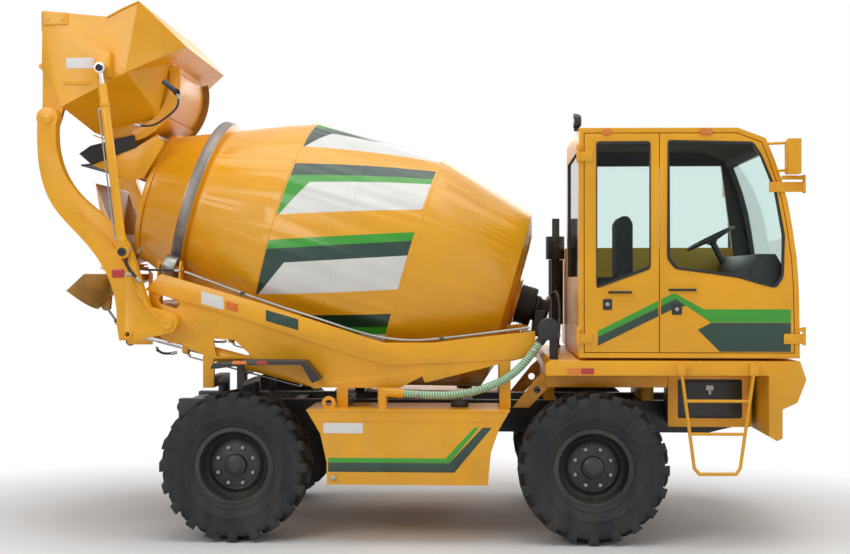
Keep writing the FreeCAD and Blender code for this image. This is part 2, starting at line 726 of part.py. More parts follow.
# ---------------------------------------------------------------- cylinders
def make_cylinder(base, eye, y, barrel_radius, rod_radius, barrel_length, stem_start, pin_radius, width):
    along = eye.sub(base)
    along.normalize()
    offset = V(0, y, 0)
    base_eye = y_rod(base + offset, y - width / 2, y + width / 2, pin_radius + 26)
    barrel = rod(base + offset + along * 20, base + offset + along * barrel_length, barrel_radius)
    bore = rod(base + offset + along * 60, base + offset + along * (barrel_length + 1), rod_radius + pin_gap)
    head_eye = y_rod(eye + offset, y - width / 2, y + width / 2, pin_radius + 16)
    stem = rod(base + offset + along * stem_start, eye + offset - along * 10, rod_radius)
    barrel_shape = join([base_eye, barrel]).cut(bore)
    barrel_shape = barrel_shape.cut(y_rod(base + offset, y - width, y + width, pin_radius + pin_gap))
    rod_shape = join([head_eye, stem])
    return barrel_shape, rod_shape


def keep_cylinders(name, base, eye, y, barrel_radius, rod_radius, barrel_length, stem_start, pin_radius, width):
    barrels = []
    rods = []
    for side in (-1, 1):
        barrel, stem = make_cylinder(base, eye, side * y, barrel_radius, rod_radius, barrel_length, stem_start,
                                     pin_radius, width)
        barrels.append(barrel)
        rods.append(stem)
    keep(name + "_barrels", Part.makeCompound(barrels))
    keep(name + "_rods", Part.makeCompound(rods))


keep_cylinders("bucket_cylinder", bucket_base_pin, bucket_rod_pin, bucket_cylinder_y, 32, 17, 1215, 90,
               cylinder_pin_radius, 44)
keep_cylinders("lift_cylinder", lift_base_pin, lever_pin, lift_cylinder_y, 52, 28, 800, 560, pivot_pin_radius, 60)
base_pin = join([y_rod(lift_base_pin, lift_cylinder_y - 28, lift_cylinder_y + 28, pivot_pin_radius + 5),
                 y_rod(lift_base_pin, lift_cylinder_y, side_plate_outer_y - 2, pivot_pin_radius)])
barrels = sorted(nodes["lift_cylinder_barrels"].Solids, key=lambda solid: -solid.CenterOfMass.y)
keep("lift_cylinder_barrels", Part.makeCompound([join([barrels[0], base_pin]),
                                                 join([barrels[1], mirrored(base_pin)])]))

# screw jack below the chute
jack_tube, jack_rod = make_cylinder(jack_base_pin, jack_eye_pin, 0.0, 17, 10, 210, 130, 10, 30)
keep("chute_jack_tube", jack_tube)
keep("chute_jack_screw", jack_rod.cut(y_rod(jack_eye_pin, -30, 30, 14)))

# -------------------------------------------------------------- water tanks
# the rear wall leans clear of the tyre, whose shoulder comes forward at full lock
tank = [(-755, 953), (-654, 783), (-608, 578), (-608, 422), (537, 423), (558, 656), (615, 819), (692, 953)]
keep("fuel_tank", xz_prism(tank, 560, -cab_right_y - 5))


# ------------------------------------------------------------------ fenders
fender_arm_z = 1098.0


def make_fender():
    outline = [(-1445, 1242), (-1425, 1281), (-1185, 1303), (-766, 1301), (-657, 1167), (-712, 1141), (-790, 1272),
               (-1180, 1272), (-1400, 1242)]
    guard = xz_prism(outline, cab_right_y, -side_plate_outer_y)
    post = box(-1268, -1224, -1050, -1010, fender_arm_z, 1290)
    arm = box(-1268, -1224, -1050, -rail_outer_y + 60, fender_arm_z, fender_arm_z + 32)
    foot = box(-1268, -1224, -rail_outer_y, -rail_outer_y + 60, rail_top_z, fender_arm_z + 32)
    return join([guard, post, arm, foot])


keep("fender_right", make_fender())
keep("fender_left", mirrored(make_fender()))


# ---------------------------------------------------------------- cab floor
def make_cab_platform():
    deck = xz_prism([(945, 1278), (945, 1201), (2704, 1207), (2715, 1308), (975, 1308)], cab_right_y, -cab_right_y)
    front = xz_prism([(2600, 1308), (2715, 1308), (2759, 1179), (2697, 1019), (2594, 969), (2594, 767), (2556, 749),
                      (2500, 780), (2500, 1207)], cab_right_y, -cab_right_y)
    legs = [box(1700, 1790, -rail_outer_y, rail_outer_y, rail_top_z, 1210)]
    legs.append(box(960, 1040, -rail_outer_y, rail_outer_y, rail_top_z, 1210))
    lamps = []
    for side in (-1, 1):
        low, high = sorted([side * 800, side * 1010])
        lamps.append(xz_prism([(2700, 1182), (2757, 1182), (2742, 1078), (2700, 1078)], low, high))
    return join([deck, front, tow_eye(2520, front_tow_x, tow_z)] + legs + lamps)


keep("cab_platform", make_cab_platform())


def make_ladder():
    y = cab_right_y - 30
    pieces = []
    route = [V(1888, y, 1240), V(1977, y, 561), V(2012, y, 519), V(2267, y, 521), V(2294, y, 563), V(2391, y, 1240)]
    for a, b in zip(route[:-1], route[1:]):
        pieces.append(rod(a, b, 12))
        pieces.append(Part.makeSphere(12, b))
    for z in (1030, 800):
        lean = (1240 - z) / 679.0
        pieces.append(rod(V(1888 + 89 * lean, y, z), V(2391 - 97 * lean, y, z), 11))
    for x in (1888, 2391):
        pieces.append(box(x - 30, x + 30, y - 12, cab_right_y, 1210, 1290))
    return join(pieces)


keep("ladder", make_ladder())

# ---------------------------------------------------------------------- cab
cab_front = [(2285, 2943), (2478, 2869), (2540, 2715), (2588, 2575), (2630, 2421), (2657, 2268), (2691, 2037),
             (2705, 1835), (2712, 1528), (2712, cab_floor_z)]
cab_outline = [(cab_rear_x, cab_floor_z), (cab_rear_x, 2947)] + cab_front


def inset(outline, distance):
    wire = Part.makePolygon([V(x, 0, z) for x, z in outline + [outline[0]]])
    return wire.makeOffset2D(-distance, 2, False, False, True)


def make_cab():
    outer = xz_prism(cab_outline, cab_right_y, cab_left_y)
    inner_wire = inset(cab_outline, 45)
    inner_face = Part.Face(inner_wire)
    inner_face.translate(V(0, cab_right_y + cab_wall, 0))
    inner = inner_face.extrude(V(0, cab_left_y - cab_right_y - 2 * cab_wall, 0))
    shell = outer.cut(inner)
    door = Part.Face(inset(cab_outline, 34))
    door.translate(V(0, cab_right_y - 5, 0))
    door = door.extrude(V(0, cab_wall + 10, 0))
    shell = shell.cut(door)
    front_window = box(2290, 2800, cab_right_y + 90, cab_left_y - 90, 1780, 2780)
    rear_window = box(1150, 1250, cab_right_y + 140, cab_left_y - 140, 1900, 2800)
    left_window = xz_prism([(1320, 1900), (2540, 1900), (2420, 2800), (1320, 2800)], cab_left_y - 60, cab_left_y + 10)
    shell = shell.cut(front_window).cut(rear_window).cut(left_window)
    brackets = []
    for hinge, reach, heights in ((front_hinge, 2700, (1420,)), (front_hinge, 2585, (2480,)),
                                  (rear_hinge, 1190, (1420, 2700))):
        for z in heights:
            x0, x1 = sorted([reach, hinge.x])
            brackets.append(box(x0, x1, hinge.y - 8, cab_right_y + 0.5, z + 96, z + 124))
            brackets.append(rod(V(hinge.x, hinge.y, z + 92), V(hinge.x, hinge.y, z + 128), 12))
            brackets.append(rod(V(hinge.x, hinge.y, z + 40), V(hinge.x, hinge.y, z + 100), 6))
    return join([shell] + brackets)


keep("cab_body", make_cab())


def make_doors():
    wire = inset(cab_outline, 34 + door_gap)
    sheet = Part.Face(wire)
    sheet.translate(V(0, cab_right_y, 0))
    panel = sheet.extrude(V(0, cab_wall, 0))
    rear_half = panel.common(box(1000, door_split_x - 3, -2000, 0, 1000, 3200))
    front_half = panel.common(box(door_split_x + 3, 3000, -2000, 0, 1000, 3200))
    rear_window = xz_prism([(1303, 1828), (1673, 1968), (1673, 2838), (1303, 2838)], cab_right_y - 5, cab_right_y + 50)
    front_window = xz_prism([(1806, 2030), (1860, 1960), (2120, 1930), (2290, 1905), (2430, 1860), (2540, 1830),
                             (2590, 1905), (2595, 2190), (2540, 2500), (2445, 2740), (2388, 2830), (1806, 2848)],
                            cab_right_y - 5, cab_right_y + 50)
    hinges_front = []
    for z in (1420, 2480):
        barrel = tube(V(front_hinge.x, front_hinge.y, z), V(front_hinge.x, front_hinge.y, z + 90), 12, 6 + pin_gap)
        reach = 2600 if z < 2000 else 2500
        strap = box(reach, front_hinge.x, cab_right_y - 14, cab_right_y - 4, z + 10, z + 80)
        strap = strap.cut(rod(V(front_hinge.x, front_hinge.y, z), V(front_hinge.x, front_hinge.y, z + 90), 11))
        hinges_front += [barrel, strap, box(reach, reach + 40, cab_right_y - 6, cab_right_y + 2, z + 10, z + 80)]
    hinges_rear = []
    for z in (1420, 2700):
        barrel = tube(V(rear_hinge.x, rear_hinge.y, z), V(rear_hinge.x, rear_hinge.y, z + 90), 12, 6 + pin_gap)
        strap = box(rear_hinge.x, rear_hinge.x + 100, cab_right_y - 14, cab_right_y - 4, z + 10, z + 80)
        strap = strap.cut(rod(V(rear_hinge.x, rear_hinge.y, z), V(rear_hinge.x, rear_hinge.y, z + 90), 11))
        pad = box(rear_hinge.x + 55, rear_hinge.x + 100, cab_right_y - 6, cab_right_y + 2, z + 10, z + 80)
        hinges_rear += [barrel, strap, pad]
    front_leaf = join([front_half.cut(front_window)] + hinges_front)
    rear_leaf = join([rear_half.cut(rear_window)] + hinges_rear)
    glass_front = front_window.common(box(1000, 3000, cab_right_y + 12, cab_right_y + 18, 1000, 3200))
    glass_rear = rear_window.common(box(1000, 3000, cab_right_y + 12, cab_right_y + 18, 1000, 3200))
    return front_leaf, rear_leaf, glass_front, glass_rear


door_front, door_rear, glass_front, glass_rear = make_doors()
keep("door_front", door_front)
keep("door_rear", door_rear)
keep("door_front_glass", glass_front)
keep("door_rear_glass", glass_rear)


def make_windscreen():
    outer = Part.Face(inset(cab_outline, 16))
    outer.translate(V(0, cab_right_y + 90, 0))
    outer = outer.extrude(V(0, cab_left_y - cab_right_y - 180, 0))
    inner = Part.Face(inset(cab_outline, 22))
    inner.translate(V(0, cab_right_y + 80, 0))
    inner = inner.extrude(V(0, cab_left_y - cab_right_y - 160, 0))
    band = outer.cut(inner)
    return band.common(box(2290, 2800, cab_right_y + 90, cab_left_y - 90, 1780, 2780))


keep("windscreen", make_windscreen())


def make_fixed_windows():
    rear = box(1190, 1196, cab_right_y + 140, cab_left_y - 140, 1900, 2800)
    left = xz_prism([(1320, 1900), (2540, 1900), (2420, 2800), (1320, 2800)], cab_left_y - 24, cab_left_y - 18)
    return Part.makeCompound([rear, left])


keep("fixed_windows", make_fixed_windows())

# ---------------------------------------------------------------- cab inside
seat_y = -420.0


def make_seat():
    pedestal = box(1560, 1900, seat_y - 180, seat_y + 180, cab_floor_z + 45, 1700)
    cushion = box(1500, 1980, seat_y - 250, seat_y + 250, 1700, 1830)
    back = xz_prism([(1500, 1790), (1610, 1810), (1560, 2390), (1460, 2390)], seat_y - 240, seat_y + 240)
    return join([pedestal, cushion, back])


def make_dash():
    outline = [(2360, cab_floor_z + 45), (2660, cab_floor_z + 45), (2650, 1900), (2560, 2060), (2430, 2060),
               (2380, 1960)]
    return xz_prism(outline, cab_right_y + 60, cab_left_y - 60)


def make_steering():
    centre = V(2215, seat_y, 2190)
    tilt_axis = V(-0.55, 0, 0.83)
    rim = Part.makeTorus(200, 16, centre, tilt_axis)
    column = rod(centre, V(2440, seat_y, 1850), 28)
    spokes = [rod(centre - V(0, 195, 0), centre + V(0, 195, 0), 10)]
    cross = V(0.83, 0, 0.55)
    spokes.append(rod(centre, centre + cross * 195, 10))
    return join([rim, column] + spokes).cut(xz_prism([(2360, 1380), (2660, 1380), (2650, 1900), (2560, 2060),
                                                     (2430, 2060), (2380, 1960)], cab_right_y, cab_left_y))


keep("driver_seat", make_seat())
keep("dashboard", make_dash())
keep("steering_wheel", make_steering())


def make_mirror():
    head = box(2600, 2690, cab_right_y - 150, cab_right_y - 35, 2610, 2850)
    arm_low = rod(V(2545, cab_right_y + 20, 2640), V(2640, cab_right_y - 60, 2640), 10)
    arm_high = rod(V(2470, cab_right_y + 20, 2830), V(2640, cab_right_y - 60, 2830), 10)
    return join([head, arm_low, arm_high]).cut(xz_prism(cab_outline, cab_right_y, cab_left_y))


keep("mirror_right", make_mirror())

# --------------------------------------------------------------- engine bay
keep("engine", box(1350, 2350, 480, 1040, 1340, 1950))


def make_hood():
    outer = box(hood_rear_x, hood_front_x, hood_right_y, hood_left_y, hood_bottom_z, hood_top_z)
    inner = box(hood_rear_x + 12, hood_front_x - 12, hood_right_y + 12, hood_left_y - 12, hood_bottom_z - 5,
                hood_top_z - 12)
    hood = outer.cut(inner)
    # pressed louvre recesses in the side, and the cooler's grille in front
    for i in range(7):
        z = 1420 + i * 84
        hood = hood.cut(box(hood_rear_x + 160, hood_rear_x + 640, hood_left_y - recess, hood_left_y + 1, z, z + 46))
    hood = hood.cut(box(hood_front_x - recess, hood_front_x + 1, hood_right_y + 110, hood_left_y - 110, 1420, 2040))
    return hood


keep("engine_hood", make_hood())


def make_mirror_left():
    """Mirror on a post that stands on the platform, clear of the hood's side."""
    y = -cab_right_y + 25
    head = box(2600, 2690, -cab_right_y + 35, -cab_right_y + 150, 2610, 2850)
    post = rod(V(2640, y, 1300), V(2640, y, 2700), 14)
    foot = box(2600, 2680, -cab_right_y, y + 14, 1230, 1302)
    return join([head, post, foot, rod(V(2640, y, 2690), V(2640, y + 40, 2690), 12)])


keep("mirror_left", make_mirror_left())


def make_air_cleaner():
    foot = box(1060, 1130, 560, 660, deck_top_z, 1330)
    stack = rod(V(1095, 610, deck_top_z + 10), V(1095, 610, 2060), 36)
    bowl = rod(V(1095, 610, 2050), V(1095, 610, 2240), 78)
    return join([foot, stack, bowl])


def make_exhaust():
    y = 820
    pipe = rod(V(1110, y, deck_top_z + 5), V(1110, y, 2400), 32)
    muffler = rod(V(1110, y, 1500), V(1110, y, 2050), 62)
    return join([pipe, muffler, box(1070, 1150, y - 40, y + 40, deck_top_z, deck_top_z + 15)])


keep("air_cleaner", make_air_cleaner())
keep("exhaust", make_exhaust())


# ----------------------------------------------------- water pump and its hose
hose_radius = 30.0
hose_route = [V(-70, -1010, 1060), V(190, -1012, 1042), V(450, -1008, 1072), V(672, -1004, 1165),
              V(812, -1004, 1290), V(905, -1004, 1425)]


def arc_route(points):
    """Straight runs joined by tangent arcs; prints the tightest radius."""
    edges = []
    start = points[0]
    radii = []
    for before, corner, after in zip(points[:-2], points[1:-1], points[2:]):
        inward = before.sub(corner)
        outward = after.sub(corner)
        shorter = min(inward.Length, outward.Length)
        inward.normalize()
        outward.normalize()
        turn = math.pi - inward.getAngle(outward)
        reach = 0.45 * shorter
        radius = reach / math.tan(turn / 2)
        radii.append(round(radius))
        first = corner + inward * reach
        last = corner + outward * reach
        bisector = inward + outward
        bisector.normalize()
        centre = corner + bisector * (radius / math.cos(turn / 2))
        towards = corner.sub(centre)
        towards.normalize()
        edges.append(Part.LineSegment(start, first).toShape())
        edges.append(Part.Arc(first, centre + towards * radius, last).toShape())
        start = last
    edges.append(Part.LineSegment(start, points[-1]).toShape())
    print("hose radii", radii)
    return Part.Wire(edges)


def tube_along(points, radius):
    path = arc_route(points)
    direction = points[1].sub(points[0])
    circle = Part.Wire([Part.makeCircle(radius, points[0], direction)])
    swept = path.makePipeShell([circle], True, False)
    print("hose volume %.0f against %.0f" % (swept.Volume, math.pi * radius ** 2 * path.Length))
    return swept


keep("suction_hose", tube_along(hose_route, hose_radius))


def make_hose_elbow():
    """Steel elbow on the tank's top that the hose is clamped to."""
    start = hose_route[0]
    along = hose_route[1].sub(start)
    along.normalize()
    joint = start - along * 150
    level = rod(start - along * 160, start, 34)
    upright = rod(V(joint.x, joint.y, 940), joint + V(0, 0, 30), 34)
    return join([level, upright])


def make_pump():
    """Pump with its inlet turned towards the hose, on a bracket of the drum frame."""
    end = hose_route[-1]
    along = end.sub(hose_route[-2])
    along.normalize()
    inlet = rod(end, end + along * 90, 34)
    centre = end + along * 120
    body = y_rod(V(centre.x, 0, centre.z), -1060, -880, 78)
    foot = box(centre.x + 6, centre.x + 66, -1010, -930, deck_top_z, centre.z)
    return join([inlet, body, foot])


keep("water_pump", make_pump())
keep("water_tank", join([xz_prism(tank, cab_right_y + 5, -560), make_hose_elbow()]))

# ---------------------------------------------------------------- write out
os.makedirs("parts", exist_ok=True)
for name in sorted(nodes):
    shape = nodes[name].copy()
    shape.translate(frame_shift)
    if not shape.isValid():
        print("not valid", name)
    if len(shape.Solids) != 1 and name not in ("fixed_windows",):
        print("solids", name, len(shape.Solids))
    shape.exportStep("parts/%s.step" % name)
total = Part.makeCompound([s for s in nodes.values()])
bounds = total.BoundBox
print("nodes", len(nodes))
print("x %.1f %.1f y %.1f %.1f z %.1f %.1f" % (bounds.XMin, bounds.XMax, bounds.YMin, bounds.YMax, bounds.ZMin,
                                               bounds.ZMax))
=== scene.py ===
import bpy
import bmesh
import json
import math
from mathutils import Matrix, Vector


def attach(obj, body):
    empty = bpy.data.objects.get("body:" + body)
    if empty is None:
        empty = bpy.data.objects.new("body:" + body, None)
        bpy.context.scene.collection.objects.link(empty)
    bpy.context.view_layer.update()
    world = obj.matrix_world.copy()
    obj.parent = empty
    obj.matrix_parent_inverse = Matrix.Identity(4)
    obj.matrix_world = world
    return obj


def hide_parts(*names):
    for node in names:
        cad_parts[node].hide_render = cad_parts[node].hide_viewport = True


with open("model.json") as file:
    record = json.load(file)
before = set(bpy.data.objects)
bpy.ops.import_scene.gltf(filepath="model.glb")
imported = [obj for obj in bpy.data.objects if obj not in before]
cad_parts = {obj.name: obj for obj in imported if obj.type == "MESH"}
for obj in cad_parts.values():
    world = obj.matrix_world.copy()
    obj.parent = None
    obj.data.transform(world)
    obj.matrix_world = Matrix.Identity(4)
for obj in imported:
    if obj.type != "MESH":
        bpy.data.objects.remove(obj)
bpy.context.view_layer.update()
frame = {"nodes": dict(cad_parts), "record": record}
cadNodes = frame["nodes"]
nodeBody = {n: b for b, members in frame["record"]["behaviour"]["bodies"].items() for n in members}
shiftX = 20.0      # the CAD is laid out about the middle of the wheelbase, this far behind the frame's zero
print("stage: frame loaded")


# ---- camera
cameraView = {"place": (0.58, -10.5, 1.87), "yaw": 0.05, "pitch": 0.0029, "lens": 56.0}
bpy.ops.object.select_all(action='DESELECT')
bpy.ops.object.camera_add(location=cameraView["place"],
                          rotation=(math.pi / 2 + cameraView["pitch"], 0, cameraView["yaw"]))
camera = bpy.context.object
camera.name = "studioCamera"
camera.data.lens = cameraView["lens"]
camera.data.sensor_width = 36.0
camera.data.clip_end = 200.0
bpy.context.scene.camera = camera


# ---- helpers
def at(x, y, z):
    return Vector((x + shiftX, y, z)) * 0.001


def deselect():
    if bpy.context.object and bpy.context.object.mode == 'EDIT':
        bpy.ops.object.mode_set(mode='OBJECT')
    bpy.ops.object.select_all(action='DESELECT')


def pick(*objects):
    deselect()
    for o in objects:
        o.select_set(True)
    bpy.context.view_layer.objects.active = objects[0]


def linked(name, data):
    piece = bpy.data.objects.new(name, data)
    bpy.context.scene.collection.objects.link(piece)
    return piece


def applyPlace(piece):
    pick(piece)
    bpy.ops.object.transform_apply(location=True, rotation=True, scale=True)


def applyAll(piece):
    pick(piece)
    for m in [m.name for m in piece.modifiers]:
        bpy.ops.object.modifier_apply(modifier=m)


def soften(piece, width, segments=2, angle=35):
    if width > 0:
        bevel = piece.modifiers.new("edge", 'BEVEL')
        bevel.width = width * 0.001
        bevel.segments = segments
        bevel.limit_method = 'ANGLE'
        bevel.angle_limit = math.radians(angle)
        applyAll(piece)
    pick(piece)
    bpy.ops.object.shade_smooth_by_angle(angle=math.radians(angle))


def cleanNormals(piece, merge=0.05):
    pick(piece)
    bpy.ops.object.mode_set(mode='EDIT')
    bpy.ops.mesh.select_all(action='SELECT')
    bpy.ops.mesh.remove_doubles(threshold=merge * 0.001)
    bpy.ops.mesh.normals_make_consistent(inside=False)
    bpy.ops.object.mode_set(mode='OBJECT')


# names a finished piece, rounds its edges and hangs it on its body
def fit(piece, name, body, material, edge=0.0, segments=2, angle=35):
    applyPlace(piece)
    soften(piece, edge, segments, angle)
    piece.name = name
    piece.data.name = name
    if material:
        piece.data.materials.clear()
        piece.data.materials.append(material)
    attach(piece, body)
    return piece


def joined(pieces):
    pick(*pieces)
    if len(pieces) > 1:
        bpy.ops.object.join()
    return bpy.context.object


def block(low, high):
    deselect()
    centre = (Vector(low) + Vector(high)) / 2
    size = Vector(high) - Vector(low)
    bpy.ops.mesh.primitive_cube_add(size=1, location=centre, scale=size)
    piece = bpy.context.object
    applyPlace(piece)
    return piece


def blockMm(x0, x1, y0, y1, z0, z1):
    return block(at(min(x0, x1), min(y0, y1), min(z0, z1)), at(max(x0, x1), max(y0, y1), max(z0, z1)))


def barrel(start, end, radius, sides=32, cap='NGON'):
    deselect()
    along = end - start
    bpy.ops.mesh.primitive_cylinder_add(vertices=sides, radius=radius * 0.001, depth=along.length,
                                        location=(start + end) / 2, end_fill_type=cap)
    piece = bpy.context.object
    piece.rotation_mode = 'QUATERNION'
    piece.rotation_quaternion = along.to_track_quat('Z', 'Y')
    applyPlace(piece)
    return piece


# a plate between two widths; the first outline is its edge, the others are holes
def outlinePlate(outlines, y0, y1, round=1.5):
    deselect()
    curve = bpy.data.curves.new("outline", 'CURVE')
    curve.dimensions = '2D'
    curve.fill_mode = 'BOTH'
    curve.extrude = max(abs(y1 - y0) / 2 - round, 0.05) * 0.001
    curve.bevel_depth = round * 0.001
    curve.bevel_resolution = 1
    curve.offset = -round * 0.001
    for outline in outlines:
        spline = curve.splines.new('POLY')
        spline.points.add(len(outline) - 1)
        spline.use_cyclic_u = True
        for p, (x, z) in zip(spline.points, outline):
            p.co = ((x + shiftX) * 0.001, z * 0.001, 0, 1)
    piece = linked("outline", curve)
    pick(piece)
    bpy.ops.object.convert(target='MESH')
    piece = bpy.context.object
    piece.rotation_euler = (math.pi / 2, 0, 0)
    piece.location = (0, (y0 + y1) / 2 * 0.001, 0)
    applyPlace(piece)
    cleanNormals(piece)
    return piece


def roundedOutline(points, radius, steps=5):
    result = []
    count = len(points)
    for i, corner in enumerate(points):
        here = Vector(corner)
        before = (Vector(points[i - 1]) - here)
        after = (Vector(points[(i + 1) % count]) - here)
        reach = min(radius, before.length * 0.45, after.length * 0.45)
        a = here + before.normalized() * reach
        b = here + after.normalized() * reach
        for k in range(steps + 1):
            t = k / steps
            result.append(tuple((a * (1 - t) + here * t) * (1 - t) + (here * (1 - t) + b * t) * t))
    return result


def tubeAlong(points, radius, smooth=True, sides=4):
    deselect()
    curve = bpy.data.curves.new("run", 'CURVE')
    curve.dimensions = '3D'
    curve.bevel_depth = radius * 0.001
    curve.bevel_resolution = sides
    curve.use_fill_caps = True
    spline = curve.splines.new('NURBS' if smooth else 'POLY')
    spline.points.add(len(points) - 1)
    for p, co in zip(spline.points, points):
        p.co = (*co, 1)
    if smooth:
        spline.order_u = 3
        spline.use_endpoint_u = True
        spline.resolution_u = 6
    piece = linked("run", curve)
    pick(piece)
    bpy.ops.object.convert(target='MESH')
    piece = bpy.context.object
    cleanNormals(piece)
    return piece


# a profile of (along, radius) pairs in mm spun about an axis
def turned(profile, centre, axis, steps=48):
    deselect()
    along = Vector(axis).normalized()
    up = Vector((0, 0, 1)) if abs(along.z) < 0.9 else Vector((1, 0, 0))
    up = (up - along * up.dot(along)).normalized()
    mesh = bpy.data.meshes.new("profile")
    points = [centre + along * (s * 0.001) + up * (r * 0.001) for s, r in profile]
    mesh.from_pydata(points, [(i, i + 1) for i in range(len(points) - 1)], [])
    piece = linked("turned", mesh)
    pick(piece)
    bpy.ops.object.mode_set(mode='EDIT')
    bpy.ops.mesh.select_all(action='SELECT')
    bpy.ops.mesh.spin(steps=steps, angle=math.tau, center=centre, axis=along)
    bpy.ops.mesh.select_all(action='SELECT')
    bpy.ops.mesh.remove_doubles(threshold=0.00002)
    bpy.ops.mesh.normals_make_consistent(inside=False)
    bpy.ops.object.mode_set(mode='OBJECT')
    return piece


def copies(pattern, places):
    made = []
    for place in places:
        twin = pattern.copy()
        twin.data = pattern.data.copy()
        bpy.context.scene.collection.objects.link(twin)
        twin.data.transform(place)
        made.append(twin)
    bpy.data.objects.remove(pattern)
    return joined(made)


def boltHead(radius=11.0, height=8.0):
    deselect()
    bpy.ops.mesh.primitive_cylinder_add(vertices=6, radius=radius * 0.001, depth=height * 0.001,
                                        location=(0, 0, height * 0.0005))
    head = bpy.context.object
    applyPlace(head)
    bpy.ops.mesh.primitive_cylinder_add(vertices=20, radius=radius * 0.00135, depth=0.0025,
                                        location=(0, 0, 0.00125))
    washer = bpy.context.object
    applyPlace(washer)
    piece = joined([head, washer])
    soften(piece, 0.8, 1, 40)
    return piece


def facing(place, direction):
    return Matrix.Translation(place) @ Vector(direction).to_track_quat('Z', 'Y').to_matrix().to_4x4()


# ---- materials
def newMaterial(name):
    material = bpy.data.materials.new(name)
    material.use_nodes = True
    tree = material.node_tree
    return material, tree, tree.nodes["Principled BSDF"]


def sums(tree, kind, a, b=None, clamp=False):
    node = tree.nodes.new("ShaderNodeMath")
    node.operation = kind
    node.use_clamp = clamp
    for socket, value in zip(node.inputs, (a, b)):
        if value is None:
            continue
        if isinstance(value, (int, float)):
            socket.default_value = value
        else:
            tree.links.new(value, socket)
    return node.outputs[0]


def spread(tree, value, low, high, newLow=0.0, newHigh=1.0):
    node = tree.nodes.new("ShaderNodeMapRange")
    tree.links.new(value, node.inputs["Value"])
    for key, number in (("From Min", low), ("From Max", high), ("To Min", newLow), ("To Max", newHigh)):
        node.inputs[key].default_value = number
    return node.outputs["Result"]


def grain(tree, where, scale, detail=3.0, rough=0.55, stretch=None):
    node = tree.nodes.new("ShaderNodeTexNoise")
    node.inputs["Scale"].default_value = scale
    node.inputs["Detail"].default_value = detail
    node.inputs["Roughness"].default_value = rough
    if stretch:
        turn = tree.nodes.new("ShaderNodeMapping")
        turn.inputs["Scale"].default_value = stretch
        tree.links.new(where, turn.inputs["Vector"])
        where = turn.outputs["Vector"]
    tree.links.new(where, node.inputs["Vector"])
    return node.outputs["Fac"]


def mixed(tree, share, a, b):
    node = tree.nodes.new("ShaderNodeMix")
    node.data_type = 'RGBA'
    for socket, value in ((node.inputs[0], share), (node.inputs[6], a), (node.inputs[7], b)):
        if isinstance(value, (int, float)):
            socket.default_value = value
        elif isinstance(value, tuple):
            socket.default_value = (*value, 1)
        else:
            tree.links.new(value, socket)
    return node.outputs[2]


def shade(colour, factor):
    return tuple(min(c * factor, 1.0) for c in colour)


# colour clouds, dust on what faces up, road dirt low down, a fine skin, and streaks that run down
def weather(tree, shader, spec, colour=None):
    place = tree.nodes.new("ShaderNodeTexCoord").outputs["Object"]
    split = tree.nodes.new("ShaderNodeSeparateXYZ")
    tree.links.new(place, split.inputs[0])
    cloud = grain(tree, place, spec.get("patch", 2.2), 5.0, 0.6)
    skin = grain(tree, place, spec.get("skin", 260.0), 2.0)
    streak = grain(tree, place, 9.0, 3.0, 0.5, (1.0, 1.0, 0.12))
    normal = tree.nodes.new("ShaderNodeSeparateXYZ")
    tree.links.new(tree.nodes.new("ShaderNodeNewGeometry").outputs["Normal"], normal.inputs[0])
    tone = spec.get("tone", 0.08)
    base = spec["colour"]
    share = spread(tree, cloud, 0.35, 0.65)
    if colour is None:
        colour = mixed(tree, share, shade(base, 1 - tone), shade(base, 1 + tone))
    else:
        colour = mixed(tree, sums(tree, 'MULTIPLY', share, tone), colour, (0, 0, 0))
    upward = spread(tree, normal.outputs["Z"], 0.45, 0.95)
    dusty = sums(tree, 'MULTIPLY', upward, spread(tree, cloud, 0.3, 0.7, 0.35, 1.0))
    low = sums(tree, 'MULTIPLY', spread(tree, split.outputs["Z"], 1.35, 0.25), spread(tree, streak, 0.35, 0.7))
    dust = sums(tree, 'ADD', sums(tree, 'MULTIPLY', dusty, spec.get("dust", 0.12)),
                sums(tree, 'MULTIPLY', low, spec.get("dirt", 0.16)), True)
    colour = mixed(tree, dust, colour, spec.get("dustColour", (0.34, 0.29, 0.22)))
    tree.links.new(colour, shader.inputs["Base Color"])
    rough = sums(tree, 'ADD', spread(tree, skin, 0.3, 0.7, spec["rough"] - 0.05, spec["rough"] + 0.07),
                 sums(tree, 'MULTIPLY', dust, 0.45), True)
    tree.links.new(rough, shader.inputs["Roughness"])
    shader.inputs["Metallic"].default_value = spec.get("metal", 0.0)
    shader.inputs["Coat Weight"].default_value = spec.get("coat", 0.0)
    shader.inputs["Coat Roughness"].default_value = 0.12
    bump = tree.nodes.new("ShaderNodeBump")
    bump.inputs["Strength"].default_value = spec.get("bump", 0.12)
    bump.inputs["Distance"].default_value = 0.002
    wave = grain(tree, place, spec.get("wave", 14.0), 2.0)
    height = sums(tree, 'ADD', sums(tree, 'MULTIPLY', skin, 0.25), wave)
    tree.links.new(height, bump.inputs["Height"])
    tree.links.new(bump.outputs["Normal"], shader.inputs["Normal"])


